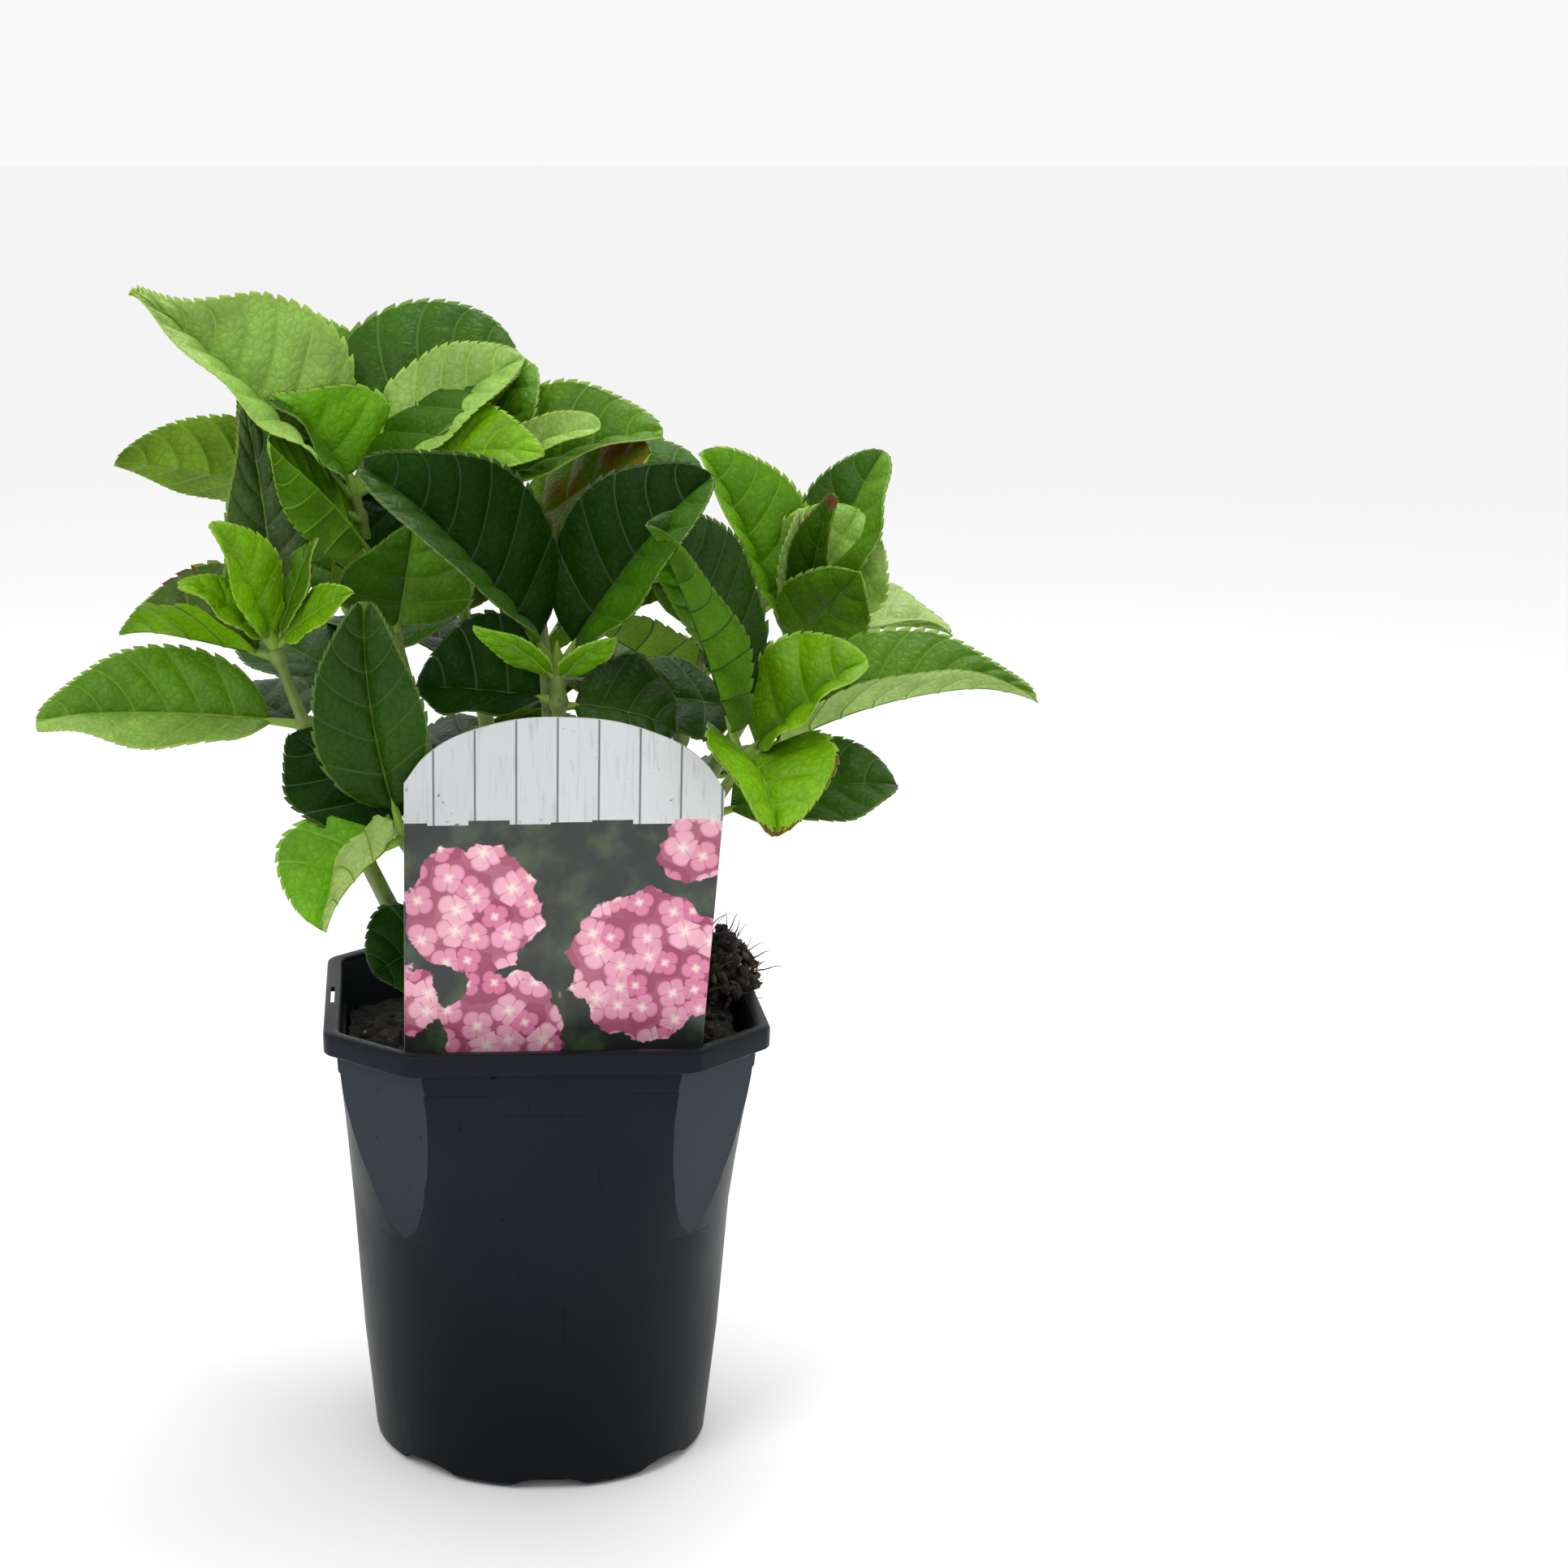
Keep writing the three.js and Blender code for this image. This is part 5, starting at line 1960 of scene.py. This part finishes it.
@dataclass(frozen=True)
class CardFinish:
    """Printed card: whitewashed boards over a dark bed with round pink florets."""

    board_width: float = 0.0126
    seam: float = 0.00035
    split_z: float = 0.224
    middle_x: float = 0.002
    dull_board: Colour = (0.50, 0.53, 0.55)
    bright_board: Colour = (0.62, 0.645, 0.66)
    board_grain: Colour = (0.33, 0.35, 0.37)
    board_speck: Colour = (0.12, 0.12, 0.12)
    board_seam: Colour = (0.09, 0.09, 0.095)
    dark_bed: Colour = (0.018, 0.024, 0.022)
    leafy_bed: Colour = (0.06, 0.09, 0.045)
    deep_petal: Colour = (0.62, 0.16, 0.30)
    pale_petal: Colour = (0.80, 0.42, 0.52)
    petal_edge: Colour = (0.46, 0.07, 0.17)
    petal_gap: Colour = (0.4, 0.08, 0.16)
    floret_eye: Colour = (0.88, 0.72, 0.66)
    deep_shade: Colour = (0.30, 0.045, 0.11)
    pale_shade: Colour = (0.42, 0.12, 0.2)
    floret_spacing: float = 0.0088
    floret_radius: float = 0.0036
    lobe_reach: float = 0.0018
    heads: tuple[tuple[float, float, float], ...] = (
        (-0.024, 0.196, 0.021),
        (0.030, 0.178, 0.024),
        (-0.014, 0.157, 0.019),
        (0.046, 0.216, 0.012),
        (-0.046, 0.168, 0.012),
    )

    def build(self) -> bpy.types.Material:
        """The card's material.

        Returns:
            The finished material.
        """
        board = Board("card_print")
        x, _, z = board.split(board.place)
        ragged = ((x / self.board_width).apply("FLOOR") * 2.4).apply("SINE") * 0.0008
        upper = (z - ragged) > self.split_z
        colour = board.mix(upper, self._blossom(board, x, z), self._planks(board, x))
        return board.finish(colour, 0.34, Normal=board.bump(board.noise(0.02, 1.0), 0.0001, 0.3))

    def _planks(self, board: Board, x: Wire) -> Wire:
        """Whitewashed boards with dark seams, grain and specks.

        Args:
            board: The material's nodes.
            x: Place across the card, in metres.

        Returns:
            Their colour.
        """
        across = (x - self.middle_x) / self.board_width
        half_seam = self.seam / self.board_width * 1.6
        seam = (across.apply("FRACT") - 0.5).apply("ABSOLUTE").ease(0.5 - half_seam, 0.5)
        tone = (across.apply("FLOOR") * 12.9898).apply("SINE") * 0.5 + 0.5
        grain = board.noise(0.0011, 4.0, board.drawn_out(0.07)).ease(0.52, 0.8) * 0.65
        patches = board.noise(0.012, 3.0).ease(0.45, 0.62)
        specks = board.noise(0.0014, 2.0).ease(0.68, 0.75) * patches
        colour = board.mix(tone, self.dull_board, self.bright_board)
        colour = board.mix(grain, colour, self.board_grain)
        colour = board.mix(specks, colour, self.board_speck)
        return board.mix(seam, colour, self.board_seam)

    def _blossom(self, board: Board, x: Wire, z: Wire) -> Wire:
        """A dark leafy bed with clusters of four-petalled pink florets.

        Args:
            board: The material's nodes.
            x: Place across the card, in metres.
            z: Height on the card, in metres.

        Returns:
            Their colour.
        """
        leafy = board.noise(0.012, 3.0).ease(0.42, 0.75)
        bed = board.mix(leafy, self.dark_bed, self.leafy_bed)
        flat = board.add("ShaderNodeCombineXYZ", {}, {"X": x, "Y": z})
        near, tone = (
            board.cells(self.floret_spacing, out, flat, 0.75, voronoi_dimensions="2D")
            for out in ("Position", "Color")
        )
        away = board.add("ShaderNodeVectorMath", {"operation": "SUBTRACT"}, {0: flat, 1: near})
        dx, dz, _ = board.split(away)
        far = board.add("ShaderNodeVectorMath", {"operation": "LENGTH"}, {0: away}, out="Value")
        hue = board.add("ShaderNodeSeparateColor", {}, {"Color": tone}, out="Red")
        angle = dz.apply("ARCTAN2", dx) + hue * 3.0
        swing = (angle * 2.0).apply("SINE").apply("ABSOLUTE")
        lobe = swing.apply("POWER", 0.55) * self.lobe_reach
        out = far / ((lobe + self.floret_radius) * (hue * 0.4 + 0.82))
        pink = board.mix(hue, self.deep_petal, self.pale_petal)
        pink = board.mix(out.ease(0.75, 1.0) * 0.45, pink, self.petal_edge)
        pink = board.mix(out.ease(0.45, 0.0), pink, self.floret_eye)
        pink = board.mix(swing.ease(0.25, 0.0) * 0.5, pink, self.petal_gap)
        shade = board.mix(hue, self.deep_shade, self.pale_shade)
        floret = board.mix(out.ease(1.0, 0.9), shade, pink)
        return board.mix(self._heads(board, x, z), bed, floret)

    def _heads(self, board: Board, x: Wire, z: Wire) -> Wire:
        """Where the round heads of florets are: a mask from 0 to 1.

        Args:
            board: The material's nodes.
            x: Place across the card, in metres.
            z: Height on the card, in metres.

        Returns:
            The mask.
        """
        wobble = board.noise(0.008, 3.0) * 0.013
        mask: Wire | None = None
        for centre_x, centre_z, size in self.heads:
            dx = x - centre_x
            dz = z - centre_z
            away = (dx * dx + dz * dz).apply("SQRT") + wobble
            head = away.ease(size + 0.0068, size + 0.0062)
            mask = head if mask is None else mask.apply("MAXIMUM", head)
        return mask


@dataclass
class LabelCard:
    """The printed label card on its spike."""

    width: float = 98.2
    top: float = 257.0
    foot: float = CARD_FOOT_Z
    thick: float = 1.2
    lean: float = CARD_LEAN
    tilt: float = 2.2
    foot_at: tuple[float, float] = (-0.2, -55.5)
    edge_round: float = 0.15

    def outline(self) -> list[tuple[float, float, str]]:
        """The card's outline, from the spike's tip.

        Returns:
            Points as (across, up, kind of handle), in millimetres.
        """
        half = self.width / 2
        side = half - 2.6
        height = self.top - self.foot
        shoulder = height - 16
        right = [
            (5.0, 0.0, "VECTOR"),
            (18.0, 26.0, "VECTOR"),
            (side, 31.0, "VECTOR"),
            (half, shoulder - 6.0, "VECTOR"),
            (half - 7.0, shoulder + 3.4, "AUTO"),
            (half * 0.55, height - 4.2, "AUTO"),
        ]
        left = [(-x, z, kind) for x, z, kind in reversed(right)]
        return [*right, (0.0, height, "AUTO"), *left]

    def build(self) -> list[bpy.types.Object]:
        """Makes the card.

        Returns:
            The piece.
        """
        deselect_all()
        bpy.ops.curve.primitive_bezier_curve_add()
        card = bpy.context.object
        card.name = card.data.name = "plant_label"
        curve = card.data
        curve.dimensions = "2D"
        curve.fill_mode = "BOTH"
        curve.splines.clear()
        spline = curve.splines.new("BEZIER")
        points = self.outline()
        spline.bezier_points.add(len(points) - 1)
        for knot, (across, up, kind) in zip(spline.bezier_points, points):
            knot.co = (across * MM, up * MM, 0)
            knot.handle_left_type = knot.handle_right_type = kind
        spline.use_cyclic_u = True
        spline.resolution_u = 16
        curve.extrude = (self.thick / 2 - self.edge_round) * MM
        curve.bevel_depth = self.edge_round * MM
        curve.bevel_resolution = 1
        curve.offset = -self.edge_round * MM
        bpy.ops.object.convert(target="MESH")
        card = bpy.context.object
        tilt, lean = math.radians(self.tilt), math.radians(self.lean)
        card.rotation_euler = (math.pi / 2 + lean, 0, 0)
        bpy.ops.object.transform_apply()
        card.rotation_euler = (0, tilt, 0)
        card.location = metres((*self.foot_at, self.foot))
        bpy.ops.object.transform_apply()
        bpy.ops.object.mode_set(mode="EDIT")
        close_up(merge=0.005)
        dress(card, CardFinish().build(), ChipFinish("card_white", (0.66, 0.66, 0.65)).build())
        for face in card.data.polygons:
            face.material_index = 0 if face.normal.y < -0.9 else 1
        smooth(card, angle=40)
        return [settle(card, ["label_card"])]


# Studio


@dataclass
class Studio:
    """Pale floor, soft light and the camera."""

    distance: float = 0.94
    camera_height: float = 0.425
    aim_height: float = 0.190
    azimuth: float = -3.0
    lens: float = 67.8
    shift: tuple[float, float] = (0.1553, 0.0626)
    floor_radius: float = 60.0
    surroundings: float = 0.95
    light_aim: tuple[float, float, float] = (0.0, 0.0, 0.22)

    def build(self) -> None:
        """Makes the floor, the lights and the camera."""
        self._floor()
        self._lights()
        self._camera()
        bpy.context.scene.view_settings.view_transform = "Standard"

    def _floor(self) -> None:
        """A wide pale floor."""
        deselect_all()
        bpy.ops.mesh.primitive_circle_add(
            vertices=96, radius=self.floor_radius, fill_type="NGON"
        )
        floor = bpy.context.object
        floor.name = "floor"
        board = Board("floor_paint")
        colour = board.mix(board.noise(0.4, 2.0), (0.93, 0.93, 0.93), (0.95, 0.95, 0.95))
        floor.data.materials.append(board.finish(colour, 0.8))

    def _softbox(
        self, name: str, place: tuple[float, float, float], size: float, power: float
    ) -> None:
        """An area light aimed at the plant.

        Args:
            name: The light's name.
            place: Where it hangs, in metres.
            size: Side of its square.
            power: Its power in watts.
        """
        data = bpy.data.lights.new(name, "AREA")
        data.size = size
        data.energy = power
        light = bpy.data.objects.new(name, data)
        light.location = place
        aim = np.array(self.light_aim) - np.array(place)
        dip = math.atan2(math.hypot(aim[0], aim[1]), -aim[2])
        light.rotation_euler = (dip, 0, math.atan2(aim[1], aim[0]) - math.pi / 2)
        bpy.context.scene.collection.objects.link(light)

    def _lights(self) -> None:
        """Even white surroundings and two softboxes."""
        world = bpy.data.worlds.new("surroundings")
        bpy.context.scene.world = world
        world.use_nodes = True
        background = world.node_tree.nodes.get("Background")
        background.inputs["Color"].default_value = (1.0, 1.0, 1.0, 1.0)
        background.inputs["Strength"].default_value = self.surroundings
        self._softbox("key_softbox", (-0.8, -1.0, 1.4), 0.6, 8.0)
        self._softbox("top_softbox", (0.35, 0.3, 1.5), 0.7, 9.0)

    def _camera(self) -> None:
        """The camera at the photograph's angle."""
        data = bpy.data.cameras.new("camera")
        camera = bpy.data.objects.new("camera", data)
        bpy.context.scene.collection.objects.link(camera)
        turn = math.radians(self.azimuth)
        camera.location = (
            self.distance * math.sin(turn),
            -self.distance * math.cos(turn),
            self.camera_height,
        )
        pitch = math.atan2(self.camera_height - self.aim_height, self.distance)
        camera.rotation_euler = (math.pi / 2 - pitch, 0, turn)
        data.lens = self.lens
        data.sensor_width = 36.0
        data.shift_x, data.shift_y = self.shift
        bpy.context.scene.camera = camera


def main() -> None:
    """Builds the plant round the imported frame, piece by piece."""
    logging.basicConfig(level=logging.INFO, format="%(message)s")
    LOG.info("frame: %d nodes", len(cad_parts))
    for maker in (Pot(), Soil(), LabelCard(), Shrub()):
        for piece in maker.build():
            LOG.info("%s: %d faces", piece.name, len(piece.data.polygons))
    Studio().build()


if __name__ == "__main__":
    main()
